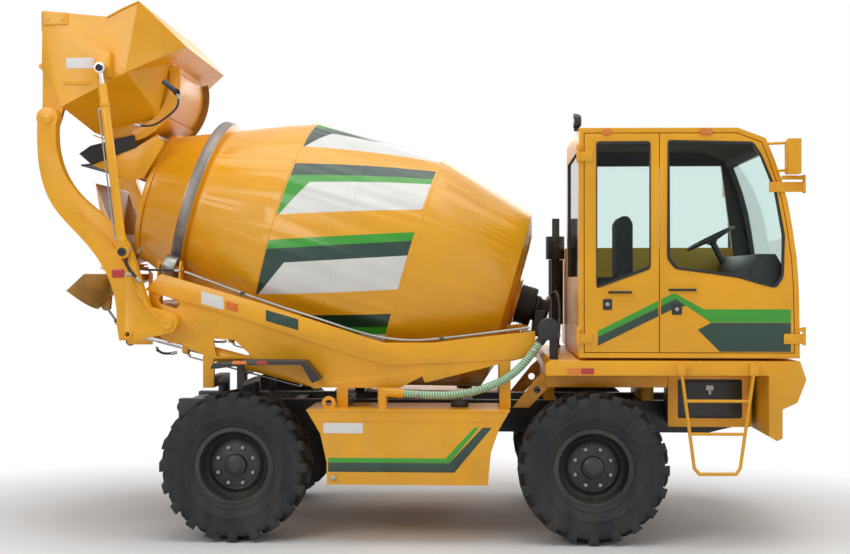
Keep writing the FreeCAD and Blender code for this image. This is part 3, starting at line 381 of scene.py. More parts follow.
paints = {
    "yellowPaint": {"colour": (0.87, 0.40, 0.004), "rough": 0.36, "coat": 0.15, "tone": 0.07, "dust": 0.05,
                    "bump": 0.10},
    "yellowInside": {"colour": (0.34, 0.17, 0.03), "rough": 0.62, "tone": 0.30, "dust": 0.35, "bump": 0.5,
                     "patch": 9.0},
    "ochreChute": {"colour": (0.40, 0.19, 0.02), "rough": 0.50, "tone": 0.25, "dust": 0.25, "bump": 0.3,
                   "patch": 7.0},
    "blackPaint": {"colour": (0.011, 0.012, 0.013), "rough": 0.42, "coat": 0.1, "tone": 0.25, "dust": 0.12,
                   "dirt": 0.12},
    "seatFabric": {"colour": (0.028, 0.029, 0.033), "rough": 0.88, "tone": 0.2, "dust": 0.05, "bump": 0.6,
                   "wave": 420.0},
    "castIron": {"colour": (0.016, 0.017, 0.019), "rough": 0.58, "tone": 0.3, "dust": 0.18, "bump": 0.55,
                 "wave": 60.0},
    "tyreRubber": {"colour": (0.011, 0.012, 0.014), "rough": 0.74, "tone": 0.25, "dust": 0.10, "dirt": 0.10,
                   "bump": 0.4,
                   "wave": 70.0},
    "hoseRubber": {"colour": (0.010, 0.010, 0.011), "rough": 0.52, "tone": 0.2, "dust": 0.08, "dirt": 0.1,
                   "bump": 0.2},
    "sealRubber": {"colour": (0.008, 0.008, 0.009), "rough": 0.6, "tone": 0.2, "dust": 0.05, "dirt": 0.05,
                   "bump": 0.1},
    "chrome": {"colour": (0.72, 0.73, 0.75), "rough": 0.14, "metal": 1.0, "tone": 0.05, "dust": 0.04,
               "dirt": 0.0, "bump": 0.02},
    "zincPipe": {"colour": (0.36, 0.37, 0.36), "rough": 0.36, "metal": 0.8, "tone": 0.15, "dust": 0.12,
                 "dirt": 0.1},
    "rolledSteel": {"colour": (0.30, 0.32, 0.30), "rough": 0.38, "metal": 0.85, "tone": 0.2, "dust": 0.05,
                    "dirt": 0.0,
                    "bump": 0.2, "wave": 40.0},
    "wornSteel": {"colour": (0.22, 0.20, 0.18), "rough": 0.5, "metal": 0.7, "tone": 0.35, "dust": 0.2,
                  "bump": 0.5, "wave": 50.0},
    "greenLight": {"colour": (0.030, 0.34, 0.014), "rough": 0.30, "coat": 0.3, "tone": 0.05, "dust": 0.05,
                   "dirt": 0.08},
    "greenDark": {"colour": (0.003, 0.040, 0.022), "rough": 0.28, "coat": 0.3, "tone": 0.08, "dust": 0.05,
                  "dirt": 0.06},
    "whiteLabel": {"colour": (0.78, 0.78, 0.75), "rough": 0.38, "tone": 0.04, "dust": 0.05, "dirt": 0.08,
                   "bump": 0.03},
    "orangeLabel": {"colour": (0.75, 0.16, 0.01), "rough": 0.38, "tone": 0.04, "dust": 0.05, "dirt": 0.08,
                    "bump": 0.03},
    "plasticBlack": {"colour": (0.014, 0.014, 0.015), "rough": 0.48, "tone": 0.15, "dust": 0.10, "dirt": 0.05,
                     "bump": 0.3,
                     "skin": 500.0},
    "cabLining": {"colour": (0.030, 0.029, 0.028), "rough": 0.7, "tone": 0.15, "dust": 0.05, "dirt": 0.0,
                  "bump": 0.3},
    "redLens": {"colour": (0.50, 0.008, 0.004), "rough": 0.15, "coat": 0.6, "tone": 0.08, "dust": 0.06,
                "dirt": 0.08, "bump": 0.2,
                "wave": 220.0},
    "orangeLens": {"colour": (0.82, 0.20, 0.006), "rough": 0.15, "coat": 0.6, "tone": 0.08, "dust": 0.06,
                   "dirt": 0.08,
                   "bump": 0.2, "wave": 220.0},
    "clearLens": {"colour": (0.62, 0.65, 0.66), "rough": 0.08, "metal": 0.35, "coat": 1.0, "tone": 0.1,
                  "dust": 0.05,
                  "bump": 0.3, "wave": 160.0},
}
looks = {}
for paintName, spec in paints.items():
    looks[paintName], tree, shader = newMaterial(paintName)
    weather(tree, shader, spec)


# clear panes: a faint green, thin, with dust
def makeGlass():
    material, tree, shader = newMaterial("windowGlass")
    shader.inputs["Base Color"].default_value = (0.80, 0.90, 0.88, 1)
    shader.inputs["IOR"].default_value = 1.12
    shader.inputs["Transmission Weight"].default_value = 1.0
    shader.inputs["Specular IOR Level"].default_value = 0.9
    place = tree.nodes.new("ShaderNodeTexCoord").outputs["Object"]
    haze = grain(tree, place, 3.0, 5.0)
    tree.links.new(spread(tree, haze, 0.4, 0.7, 0.015, 0.07), shader.inputs["Roughness"])
    return material


looks["windowGlass"] = makeGlass()


# where the drum's widest seam sits, in mm, and how far its axis leans
drumAxis = {"seam": (-1049, 0, 2231), "lean": math.radians(16.4)}


# the drum's paint, with its slanting stripe sets, and the bare rolling ring
def makeDrumPaint():
    drumStripes = {"twist": 22.0, "start": 140.0, "pitch": 78.0,
                   "from": 0.008, "to": 1.012, "slant": (0.160, 0.136)}
    material, tree, shader = newMaterial("drumPaint")
    place = tree.nodes.new("ShaderNodeTexCoord").outputs["Object"]
    turn = tree.nodes.new("ShaderNodeMapping")
    turn.vector_type = 'TEXTURE'
    turn.inputs["Location"].default_value = at(*drumAxis["seam"])
    turn.inputs["Rotation"].default_value = (0, drumAxis["lean"], 0)
    tree.links.new(place, turn.inputs["Vector"])
    split = tree.nodes.new("ShaderNodeSeparateXYZ")
    tree.links.new(turn.outputs["Vector"], split.inputs[0])
    along, side, up = split.outputs[0], split.outputs[1], split.outputs[2]
    angle = sums(tree, 'DEGREES', sums(tree, 'ARCTAN2', sums(tree, 'MULTIPLY', side, -1.0), up))
    twisted = sums(tree, 'ADD', angle, sums(tree, 'MULTIPLY', along, drumStripes["twist"]))
    turns = sums(tree, 'DIVIDE', sums(tree, 'ADD', twisted, drumStripes["start"]), drumStripes["pitch"])
    share = sums(tree, 'FRACT', turns)
    yellow, light, dark, white = (paints["yellowPaint"]["colour"], paints["greenLight"]["colour"],
                                  paints["greenDark"]["colour"], paints["whiteLabel"]["colour"])

    def stripes(inner):
        node = tree.nodes.new("ShaderNodeValToRGB")
        node.color_ramp.interpolation = 'CONSTANT'
        stops = ((0.0, light), (0.0513, dark), (0.1436, inner[0]), (0.3462, yellow),
                 (0.5, dark), (0.5872, light), (0.6372, inner[1]), (0.8462, yellow))
        ramp = node.color_ramp.elements
        while len(ramp) < len(stops):
            ramp.new(1.0)
        for element, (position, colour) in zip(ramp, stops):
            element.position = position
            element.color = (*colour, 1)
        tree.links.new(share, node.inputs[0])
        return node.outputs[0]

    within = sums(tree, 'FRACT', sums(tree, 'MULTIPLY', turns, 2.0))       # 0 to 1 over one stripe set
    step = sums(tree, 'DIVIDE', sums(tree, 'SUBTRACT', within, 0.282), 0.41)
    edge = sums(tree, 'SUBTRACT', drumStripes["slant"][0],
                sums(tree, 'MULTIPLY', step, drumStripes["slant"][1]))
    colour = mixed(tree, sums(tree, 'GREATER_THAN', along, edge), stripes((dark, light)),
                   stripes((white, white)))
    banded = sums(tree, 'MULTIPLY', sums(tree, 'GREATER_THAN', along, drumStripes["from"]),
                  sums(tree, 'LESS_THAN', along, drumStripes["to"]))
    banded = sums(tree, 'MULTIPLY', banded, sums(tree, 'MULTIPLY', sums(tree, 'GREATER_THAN', twisted, -140.0),
                                                 sums(tree, 'LESS_THAN', twisted, 160.0)))
    away = sums(tree, 'SQRT',
                sums(tree, 'ADD', sums(tree, 'MULTIPLY', side, side), sums(tree, 'MULTIPLY', up, up)))
    banded = sums(tree, 'MULTIPLY', banded, sums(tree, 'GREATER_THAN', away, 0.9))
    colour = mixed(tree, banded, yellow, colour)
    ring = sums(tree, 'MULTIPLY',
                sums(tree, 'LESS_THAN', sums(tree, 'ABSOLUTE', sums(tree, 'ADD', along, 0.691)), 0.0455),
                sums(tree, 'GREATER_THAN', away, 0.7285))
    colour = mixed(tree, ring, colour, paints["wornSteel"]["colour"])
    weather(tree, shader,
            {"colour": yellow, "rough": 0.34, "coat": 0.3, "tone": 0.10, "dust": 0.05, "dirt": 0.0,
                           "bump": 0.16, "wave": 5.0}, colour)
    tree.links.new(sums(tree, 'MULTIPLY', ring, 0.8), shader.inputs["Metallic"])
    return material


looks["drumPaint"] = makeDrumPaint()
print("stage: materials")


# ---- suction hose, a green spiral hose seen from end to end
suctionHose = {"length": 1.11, "diameter": 0.060, "ribPitch": 0.019, "ribHeight": 0.0022,
               "route": [(-0.050, -1.010, 1.060), (0.210, -1.012, 1.042), (0.470, -1.008, 1.072),
                         (0.692, -1.004, 1.165), (0.832, -1.004, 1.290), (0.925, -1.004, 1.425)]}


def makeHoseLook():
    material, tree, shader = newMaterial("spiralHose")
    rib = tree.nodes.new("ShaderNodeAttribute")
    rib.attribute_name = "rib"
    place = tree.nodes.new("ShaderNodeTexCoord").outputs["Object"]
    cloud = grain(tree, place, 14.0, 3.0)
    film = mixed(tree, spread(tree, cloud, 0.3, 0.7), (0.10, 0.30, 0.13), (0.17, 0.42, 0.21))
    colour = mixed(tree, rib.outputs["Fac"], film, (0.62, 0.74, 0.60))
    tree.links.new(colour, shader.inputs["Base Color"])
    tree.links.new(spread(tree, cloud, 0.3, 0.7, 0.22, 0.38), shader.inputs["Roughness"])
    shader.inputs["Coat Weight"].default_value = 0.5
    shader.inputs["Subsurface Weight"].default_value = 0.15
    shader.inputs["Subsurface Radius"].default_value = (0.01, 0.02, 0.01)
    return material


def routeLine(points):
    curve = bpy.data.curves.new("route", 'CURVE')
    curve.dimensions = '3D'
    spline = curve.splines.new('NURBS')
    spline.points.add(len(points) - 1)
    for p, co in zip(spline.points, points):
        p.co = (*co, 1)
    spline.order_u = 3
    spline.use_endpoint_u = True
    spline.resolution_u = 24
    route = linked("route", curve)
    bpy.context.view_layer.update()
    mesh = bpy.data.meshes.new_from_object(route)
    line = [v.co.copy() for v in mesh.vertices]
    bpy.data.objects.remove(route)
    return line


# a hose with a raised spiral, swept along points read from its route's spline
def makeSpiralHose(line, spec, sides=20, stride=0.0026):
    lengths = [0.0]
    for a, b in zip(line, line[1:]):
        lengths.append(lengths[-1] + (b - a).length)
    total = lengths[-1]
    count = int(total / stride)
    mesh = bmesh.new()
    ribLayer = mesh.verts.layers.float.new("rib")
    side = Vector((0, 1, 0))
    rings = []
    k = 0
    for i in range(count + 1):
        s = total * i / count
        while k < len(lengths) - 2 and lengths[k + 1] < s:
            k += 1
        t = (s - lengths[k]) / (lengths[k + 1] - lengths[k])
        centre = line[k].lerp(line[k + 1], t)
        along = (line[min(k + 2, len(line) - 1)] - line[max(k - 1, 0)]).normalized()
        up = along.cross(side).normalized()
        ring = []
        for j in range(sides):
            a = math.tau * j / sides
            wave = 0.5 + 0.5 * math.cos(math.tau * s / spec["ribPitch"] - a)
            raised = wave ** 3
            r = spec["diameter"] / 2 - spec["ribHeight"] * (1 - raised)
            vertex = mesh.verts.new(centre + (side * math.cos(a) + up * math.sin(a)) * r)
            vertex[ribLayer] = raised
            ring.append(vertex)
        rings.append(ring)
    for a, b in zip(rings, rings[1:]):
        for j in range(sides):
            mesh.faces.new((a[j], a[(j + 1) % sides], b[(j + 1) % sides], b[j]))
    mesh.faces.new(rings[0])
    mesh.faces.new(rings[-1])
    bmesh.ops.recalc_face_normals(mesh, faces=mesh.faces)
    data = bpy.data.meshes.new("suctionHose")
    mesh.to_mesh(data)
    mesh.free()
    piece = linked("suctionHose", data)
    return piece


hoseLine = routeLine(suctionHose["route"])
hose = makeSpiralHose(hoseLine, suctionHose)
fit(hose, "suctionHose", "chassis", makeHoseLook(), 0, angle=60)
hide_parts("suction_hose")
# clamps: a steel band with a worm housing near each end
clampBand = [(-7, 30.4), (-7, 32), (-5, 32.6), (5, 32.6), (7, 32), (7, 30.4), (-7, 30.4)]
clamps = []
for index in (6, len(hoseLine) - 7):
    along = hoseLine[index + 1] - hoseLine[index - 1]
    clamps.append(turned(clampBand, hoseLine[index], along, 40))
    worm = barrel(hoseLine[index] + Vector((0.012, -0.036, 0.0)),
                  hoseLine[index] + Vector((-0.012, -0.036, 0.0)), 6, 16)
    clamps.append(worm)
hoseClamps = fit(joined(clamps), "suctionHoseClamps", "chassis", looks["zincPipe"], 0.6, 1)
print("stage: suction hose")


# ---- the CAD's own solids, cleaned, with rounded edges and real finishes
def dressed(node, name, look, edge=3.0, angle=38, segments=2):
    source = cadNodes[node]
    piece = linked(name, source.data.copy())
    piece.data.materials.clear()
    pick(piece)
    bpy.ops.object.mode_set(mode='EDIT')
    bpy.ops.mesh.select_all(action='SELECT')
    bpy.ops.mesh.remove_doubles(threshold=0.00003)
    bpy.ops.mesh.dissolve_limited(angle_limit=math.radians(0.6))
    bpy.ops.object.mode_set(mode='OBJECT')
    bpy.ops.object.shade_flat()
    fit(piece, name, nodeBody[node], looks[look], edge, segments, angle)
    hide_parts(node)
    return piece


dressList = [
    ("chassis_frame", "chassisRails", "blackPaint", "paint_black", 3),
    ("frame_cross_members", "chassisCrossMembers", "blackPaint", "paint_black", 3),
    ("front_axle", "frontAxle", "castIron", "paint_black", 4),
    ("rear_axle", "rearAxle", "castIron", "paint_black", 4),
    ("drum_frame", "drumCradle", "yellowPaint", "paint_yellow", 3),
    ("roller_stand", "rollerStand", "yellowPaint", "paint_yellow", 3),
    ("drum_gearbox", "drumGearbox", "castIron", "cast_black", 4),
    ("feed_hopper", "feedHopper", "yellowPaint", "paint_yellow", 2),
    ("hopper_lip", "hopperLip", "sealRubber", "rubber_black", 2),
    ("discharge_collector", "dischargeCollector", "yellowPaint", "paint_yellow", 2),
    ("fuel_tank", "fuelTank", "yellowPaint", "paint_yellow", 6),
    ("water_tank", "waterTank", "yellowPaint", "paint_yellow", 6),
    ("fender_left", "fenderLeft", "blackPaint", "paint_black", 2),
    ("fender_right", "fenderRight", "blackPaint", "paint_black", 2),
    ("cab_platform", "cabPlatform", "yellowPaint", "paint_yellow", 4),
    ("ladder", "cabLadder", "yellowPaint", "paint_black", 2),
    ("air_cleaner", "airCleaner", "plasticBlack", "plastic_black", 3),
    ("exhaust", "exhaustStack", "castIron", "paint_black", 3),
    ("water_pump", "waterPump", "castIron", "cast_black", 3),
    ("engine", "engineBlock", "castIron", "paint_black", 8),
    ("loading_arm", "loadingArms", "yellowPaint", "paint_yellow", 4),
    ("bucket", "loadingBucket", "yellowPaint", "paint_yellow", 4),
    ("bucket_gate", "bucketGate", "yellowPaint", "paint_yellow", 2),
    ("bucket_cylinder_barrels", "bucketCylinderTubes", "yellowPaint", "paint_black", 2),
    ("bucket_cylinder_rods", "bucketCylinderRods", "chrome", "chrome_rod", 1),
    ("lift_cylinder_barrels", "liftCylinderTubes", "yellowPaint", "paint_yellow", 2),
    ("lift_cylinder_rods", "liftCylinderRods", "chrome", "chrome_rod", 1),
    ("chute_carrier", "chuteCarrier", "yellowPaint", "paint_yellow", 2),
    ("chute", "dischargeChute", "ochreChute", "paint_yellow", 2),
    ("chute_jack_tube", "chuteJackTube", "blackPaint", "paint_yellow", 1),
    ("chute_jack_screw", "chuteJackScrew", "rolledSteel", "steel_bare", 1),
    ("roller_right", "drumRollerRight", "rolledSteel", "steel_bare", 3),
    ("roller_left", "drumRollerLeft", "rolledSteel", "steel_bare", 3),
    ("mirror_right", "mirrorRight", "yellowPaint", "mirror_face", 4),
    ("mirror_left", "mirrorLeft", "yellowPaint", "mirror_face", 4),
    ("dashboard", "dashboard", "plasticBlack", "plastic_black", 8),
    ("door_rear", "cabDoorRear", "yellowPaint", "paint_yellow", 3),
    ("door_front", "cabDoorFront", "yellowPaint", "paint_yellow", 3),
    ("engine_hood", "engineHood", "yellowPaint", "paint_yellow", 6),
    ("cab_body", "cabShell", "yellowPaint", "paint_yellow", 5),
]
for node, name, look, slotName, edge in dressList:
    dressed(node, name, look, edge)
for node, name in (("windscreen", "windscreenPane"), ("fixed_windows", "sideWindowPanes"),
                   ("door_front_glass", "doorFrontPane"), ("door_rear_glass", "doorRearPane")):
    dressed(node, name, "windowGlass", 0)
dressed("drum", "mixingDrum", "drumPaint", 2, 30)
for end in ("front", "rear"):
    for side in ("right", "left"):
        dressed("knuckle_%s_%s" % (end, side), "knuckle%s%s" % (end.title(), side.title()), "castIron",
                4)
        dressed("rim_%s_%s" % (end, side), "rim%s%s" % (end.title(), side.title()), "blackPaint",
                2, 30)


# gives the faces that the test picks another finish
def repaint(piece, look, test):
    piece.data.materials.append(looks[look])
    index = len(piece.data.materials) - 1
    for face in piece.data.polygons:
        if test(face.center, face.normal):
            face.material_index = index


cabCentre = at(1900, -400, 2100)
repaint(bpy.data.objects["cabShell"], "cabLining",
        lambda c,
        n: n.dot(cabCentre - c) > 0 and abs(c.y + 0.4) < 0.722 and 1.395 > abs(c.z - 2.1) - 0.2 and c.x < 2.72)
for door in ("cabDoorRear", "cabDoorFront"):
    repaint(bpy.data.objects[door], "cabLining", lambda c, n: n.y > 0.7)
for mirror in ("mirrorRight", "mirrorLeft"):
    repaint(bpy.data.objects[mirror], "plasticBlack", lambda c, n: c.z < 2.6 or n.x > 0.5)
repaint(bpy.data.objects["loadingBucket"], "yellowInside",
        lambda c, n: n.dot(at(-2250, 0, 3560) - c) > 0 and abs(c.y) < 0.992 and c.z < 3.86)
repaint(bpy.data.objects["dischargeChute"], "wornSteel", lambda c, n: n.z > 0.2 and abs(c.y) < 0.182)
repaint(bpy.data.objects["feedHopper"], "yellowInside", lambda c, n: n.z > 0.15 and abs(c.y) < 0.515)
print("stage: solids dressed")


# ---- tyres and wheels
tyre = {"lugs": 20, "halfWidth": 204.0, "tip": 533.0, "tread": 534.5, "base": 503.0}


def makeTyre():
    w, base = tyre["halfWidth"], tyre["base"]
    wall = [(-150, 283), (-166, 292), (-172, 304), (-170, 312), (-182, 330), (-194, 360), (-197, 366),
            (-194, 372),
            (-198, 400), (-w + 4, 430), (-w + 4, 448), (-196, 478), (-184, 494), (-160, 501), (-90, base),
            (0, base + 1)]
    section = wall + [(-s, r) for s, r in reversed(wall[:-1])] + [(150, 281), (-150, 281), (-150, 283)]
    body = turned(section, Vector((0, 0, 0)), (0, 1, 0), 120)
    soften(body, 0, angle=40)
    shoulder = block((-0.040, -w * 0.001, 0.444), (0.040, -0.104, tyre["tip"] * 0.001))
    centreBlock = block((-0.046, -0.096, 0.494), (0.046, -0.012, tyre["tread"] * 0.001))
    for v in shoulder.data.vertices:
        if v.co.z < 0.46:
            v.co.y = max(v.co.y, -0.199)
            v.co.x *= 0.72
        else:
            v.co.x *= 0.92
            if v.co.y < -0.15:
                v.co.z -= 0.005
        if v.co.y > -0.15:
            v.co.x += 0.014
    for v in centreBlock.data.vertices:
        v.co.x += (v.co.y + 0.054) * 0.55
        if v.co.z > 0.52:
            v.co.x *= 0.88
    for piece in (shoulder, centreBlock):
        soften(piece, 5.0, 2, 30)
    rib = block((-0.003, -0.2005, 0.385), (0.003, -0.195, 0.425))
    soften(rib, 1.0, 1, 30)
    places, half = [], [Matrix.Identity(4), Matrix.Rotation(math.pi, 4, 'Z')]
    for flip in half:
        for i in range(tyre["lugs"]):
            places.append(Matrix.Rotation(math.tau * i / tyre["lugs"], 4, 'Y') @ flip)
    between = [Matrix.Rotation(math.tau * (i + 0.5) / tyre["lugs"], 4, 'Y') @ flip
               for flip in half for i in range(tyre["lugs"])]
    ribs = [Matrix.Rotation(math.tau * i / 60, 4, 'Y') @ flip for flip in half for i in range(60)]
    return joined([body, copies(shoulder, places), copies(centreBlock, between), copies(rib, ribs)])


wheelNut = {"ring": 137.0, "count": 8, "face": 58.0}


def makeNut():
    stud = turned([(0, 0), (0, 17), (3, 17), (4, 15), (20, 15), (23, 12), (23, 9), (36, 9), (38, 7), (38, 0)],
                  Vector((0, 0, 0)), (0, -1, 0), 6)
    soften(stud, 0.8, 1, 30)
    return stud


tyrePattern = makeTyre()
for end, wheelX in (("Front", 1285), ("Rear", -1285)):
    for side, sign in (("Right", -1), ("Left", 1)):
        body = "wheel_%s_%s" % (end.lower(), side.lower())
        centre = at(wheelX, sign * 945, 537.5)
        piece = copies(tyrePattern.copy(), [Matrix.Translation(centre)])
        piece.name = "tyre"
        soften(piece, 0, angle=38)
        fit(piece, "tyre%s%s" % (end, side), body, looks["tyreRubber"], 0, angle=38)
        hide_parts("tyre_%s_%s" % (end.lower(), side.lower()))
        turn = Matrix.Translation(centre) @ Matrix.Rotation(0 if sign < 0 else math.pi, 4, 'Z')
        places = [turn @ Matrix.Rotation(math.tau * (i + 0.5) / wheelNut["count"], 4, 'Y')
                  @ Matrix.Translation((0, -wheelNut["face"] * 0.001, wheelNut["ring"] * 0.001))
                  for i in range(wheelNut["count"])]
        fit(copies(makeNut(), places), "wheelNuts%s%s" % (end, side), body, looks["zincPipe"], 0)
        # rolled edge and lock ring of the rim, seen as bright circles
        edge = turned([(-131, 262), (-128, 270), (-134, 288), (-142, 291), (-149, 288), (-151, 281),
                       (-147, 272), (-140, 262),
                       (-131, 262)], centre, (0, -sign, 0), 96)
        hub = turned([(40, 62), (112, 58), (118, 52), (122.5, 44), (124, 30), (124, 0)], centre, (0, sign, 0),
                     40)
        step = turned([(42, 203), (46, 201), (60, 176), (64, 170), (60, 163), (56, 163)], centre,
                      (0, sign, 0), 80)
        slots = turned([(0, 0), (0, 7), (2, 9), (7, 9), (9, 7), (9, 0)], Vector((0, 0, 0)), (0, -1, 0), 6)
        bolts = copies(slots, [turn @ Matrix.Rotation(math.tau * i / 10, 4,
                                                      'Y') @ Matrix.Translation((0, -0.110, 0.048))
                               for i in range(10)])
        fit(joined([edge, hub, step, bolts]), "rimRings%s%s" % (end, side), body, looks["blackPaint"],
            0.8, 1, 32)
bpy.data.objects.remove(tyrePattern)
print("stage: wheels")


# ---- small parts used in many places
def boltsAt(name, body, points, direction, radius=11, height=8, look="yellowPaint"):
    piece = copies(boltHead(radius, height), [facing(p, direction) for p in points])
    return fit(piece, name, body, looks[look], 0)


# a pin's end: a keeper disc with a chamfer, two bolts and a grease nipple
def pinEnd(name, body, place, sign, radius, look="yellowPaint"):
    disc = turned([(-2, radius - 2), (0, radius), (8, radius), (11, radius - 3), (11, radius * 0.45),
                   (8, radius * 0.42),
                   (8, 0)], place, (0, sign, 0), 40)
    nipple = turned([(8, 0), (8, 5), (14, 5), (16, 3), (20, 3), (22, 2), (22, 0)], place, (0, sign, 0), 12)
    bolts = copies(boltHead(radius * 0.17, 7),
                   [facing(place + Vector((dx * radius * 0.0007, sign * 0.0105, 0)), (0, sign, 0))
                                                for dx in (-1, 1)])
    return fit(joined([disc, nipple, bolts]), name, body, looks[look], 0.8, 1)


# a flat lens or sticker with rounded corners, standing 1 to 3 mm proud
def plate(name, body, x0, x1, z0, z1, face, sign, thick, look, corner=8.0, slope=0.0):
    mid = (x0 + x1) / 2
    corners = [(x0, z0), (x1, z0), (x1, z1), (x0, z1)]
    corners = [(x, z + (x - mid) * slope) for x, z in corners]
    piece = outlinePlate([roundedOutline(corners, corner)], face, face + sign * thick, min(thick * 0.4, 2.0))
    return fit(piece, name, body, looks[look], 0)


# a hydraulic hose with pressed ferrules and hexagon nuts at both ends
def hydraulicHose(name, body, points, radius=9.0, look="hoseRubber"):
    run = tubeAlong(points, radius)
    ends = []
    for a, b in ((points[0], points[1]), (points[-1], points[-2])):
        along = (b - a).normalized()
        ends.append(turned([(0, 0), (0, radius * 1.25), (14, radius * 1.25), (16, radius * 1.1),
                            (16, radius * 1.35),
                            (44, radius * 1.35), (47, radius * 1.05)], a, along, 6 if radius < 6 else 12))
    ferrules = fit(joined(ends), name + "Ferrules", body, looks["zincPipe"], 0.6, 1)
    return fit(run, name, body, looks[look], 0, angle=60), ferrules


# ---- bucket, arms and their cylinders
bucketTrim = {"wearBolts": 8, "sideY": 1000, "plate": 9}
for sign, tag in ((-1, "Right"), (1, "Left")):
    y = sign * bucketTrim["sideY"]
    corner = outlinePlate([roundedOutline([(-2706, 3828), (-2522, 3828), (-2522, 3740), (-2706, 3736)], 14)],
                          y, y + sign * 9, 2)
    fit(corner, "bucketCornerPlate" + tag, "bucket", looks["yellowPaint"], 0)
    boltsAt("bucketCornerBolts" + tag, "bucket", [at(x, y + sign * 9, 3784) for x in (-2670, -2560)],
            (0, sign, 0), 12, 8)
    rim = tubeAlong([at(-2233, y + sign * 4, 3790), at(-2120, y + sign * 4, 3850),
                     at(-2010, y + sign * 4, 3898)], 7, False)
    fit(rim, "bucketRimRod" + tag, "bucket", looks["yellowPaint"], 0)
    web = outlinePlate([roundedOutline([(-2560, 3330), (-2360, 3330), (-2360, 3300), (-2540, 3300)], 8)], y,
                       y + sign * 7, 2)
    fit(web, "bucketSideStrap" + tag, "bucket", looks["yellowPaint"], 0)
plate("bucketBlankLabel", "bucket", -2537, -2330, 3419, 3497, -1000, -1, 1.2, "whiteLabel")
plate("bucketRearLabel", "bucket", -2537, -2330, 3419, 3497, 1000, 1, 1.2, "whiteLabel")
# bolt-on cutting edge along the lip, with its bolts, and stiffening ribs under the bottom plate
lipEdge = blockMm(-2726, -2711, -985, 985, 3700, 3838)
fit(lipEdge, "bucketCuttingEdge", "bucket", looks["wornSteel"], 3)
boltsAt("bucketEdgeBolts", "bucket", [at(-2726, -875 + 250 * i, 3760) for i in range(8)], (-1, 0, 0), 14, 9,
        "wornSteel")
ribs = []
for i in range(5):
    y = -800 + 400 * i
    ribs.append(blockMm(-2732, -2714, y - 7, y + 7, 3425, 3690))
fit(joined(ribs), "bucketFloorRibs", "bucket", looks["yellowPaint"], 3)
beam = tubeAlong([at(-2725, -990, 3440), at(-2725, 990, 3440)], 20, False, 6)
fit(beam, "bucketFloorTube", "bucket", looks["yellowPaint"], 2)
# the gate's small cylinder and the hose that feeds it
gateCylinder = joined([barrel(at(-1830, -960, 3330), at(-1728, -960, 3245), 20, 24),
                       turned([(-16, 24), (16, 24), (18, 20), (18, 0)], at(-1730, -960, 3246), (0, 1, 0), 24)])
fit(gateCylinder, "gateCylinder", "bucket", looks["blackPaint"], 1.5)
hydraulicHose("gateHose", "bucket",
              [at(-1728, -966, 3235), at(-1700, -968, 3160), at(-1790, -968, 3070), at(-1925, -966, 2985),
                                     at(-2040, -962, 3010)], 8)

for sign, tag in ((-1, "Right"), (1, "Left")):
    pinEnd("armPivotPin" + tag, "arm", at(-1774, sign * 1085, 1570), sign, 52)
    pinEnd("armBucketPin" + tag, "arm", at(-2651, sign * 1085, 3049), sign, 44)
    pinEnd("armLeverPin" + tag, "arm", at(-2057, sign * 1085, 1484), sign, 36)
    pinEnd("bucketRodPin" + tag, "bucket", at(-2247, sign * 1160, 3400), sign, 26, "castIron")
    pinEnd("bucketBasePin" + tag, "arm", at(-2080, sign * 1160, 2078), sign, 30, "castIron")
    plate("armReflector" + tag, "arm", -2172, -2084, 1893, 1953, sign * 1085, sign, 7, "redLens",
          12)
    clip = joined([blockMm(-2066, -2022, sign * 1085, sign * 1097, 1902, 1932),
                   tubeAlong([at(-2066, sign * 1100, 1917), at(-2022, sign * 1100, 1917)], 9, False)])
    fit(clip, "armPipeClip" + tag, "arm", looks["zincPipe"], 2)
    # steel pipe up the arm's outer face, held by clips
    pipe = tubeAlong([at(-1850, sign * 1095, 1600), at(-1990, sign * 1095, 1780), at(-2075, sign * 1095, 1990),
                      at(-2210, sign * 1095, 2190), at(-2420, sign * 1095, 2380)], 8)
    fit(pipe, "armPipe" + tag, "arm", looks["yellowPaint"], 0, angle=60)
    # cylinder heads, feed pipes and rod wipers
    for stem, start, end, reach, body, y, rodBody in (
            ("bucketCylinder", (-2080, 2078), (-2247, 3400), 1090, "bucket_barrels", 1128, 32),
            ("liftCylinder", (-720, 1135), (-2057, 1484), 1010, "lift_barrels", 850, 52)):
        a, b = at(start[0], sign * y, start[1]), at(end[0], sign * y, end[1])
        along = (b - a).normalized()
        side = Vector((along.z, 0, -along.x))
        radius = rodBody
        head = a + along * (reach * 0.001)
        gland = turned([(-44, radius), (-42, radius + 4), (-6, radius + 4), (-4, radius + 1), (3, radius - 2),
                        (5, radius * 0.62)],
                       head, along, 40)
        foot = turned([(0, radius), (2, radius + 3), (26, radius + 3), (28, radius)], a + along * 0.075,
                      along, 40)
        fit(joined([gland, foot]), stem + "Bands" + tag, body, looks["yellowPaint"], 1)
        low, high = a + along * 0.10 - side * radius * 0.001, head - along * 0.05 - side * radius * 0.001
        out = -side * 0.016
        pipe = tubeAlong([low, low + out, low + out + along * 0.05, high + out - along * 0.05, high + out,
                          high], 6)
        ports = [turned([(0, 0), (0, 12), (12, 12), (14, 9), (20, 9)], p + side * 0.004, -side,
                        6) for p in (low, high)]
        fit(joined([pipe] + ports), stem + "Pipe" + tag, body, looks["zincPipe"], 0, angle=50)
    hydraulicHose("liftHose" + tag, "lift_barrels", [at(-1905, sign * 850, 1375), at(-1880, sign * 905, 1350),
                                                     at(-1810, sign * 925, 1332),
                                                     at(-1740, sign * 905, 1345)], 9)
    hydraulicHose("armHose" + tag, "arm",
                  [at(-2026, sign * 1092, 2110), at(-2080, sign * 1096, 2030), at(-2041, sign * 1100, 1945),
                                           at(-1960, sign * 1098, 1860)], 10)
print("stage: bucket and arms")


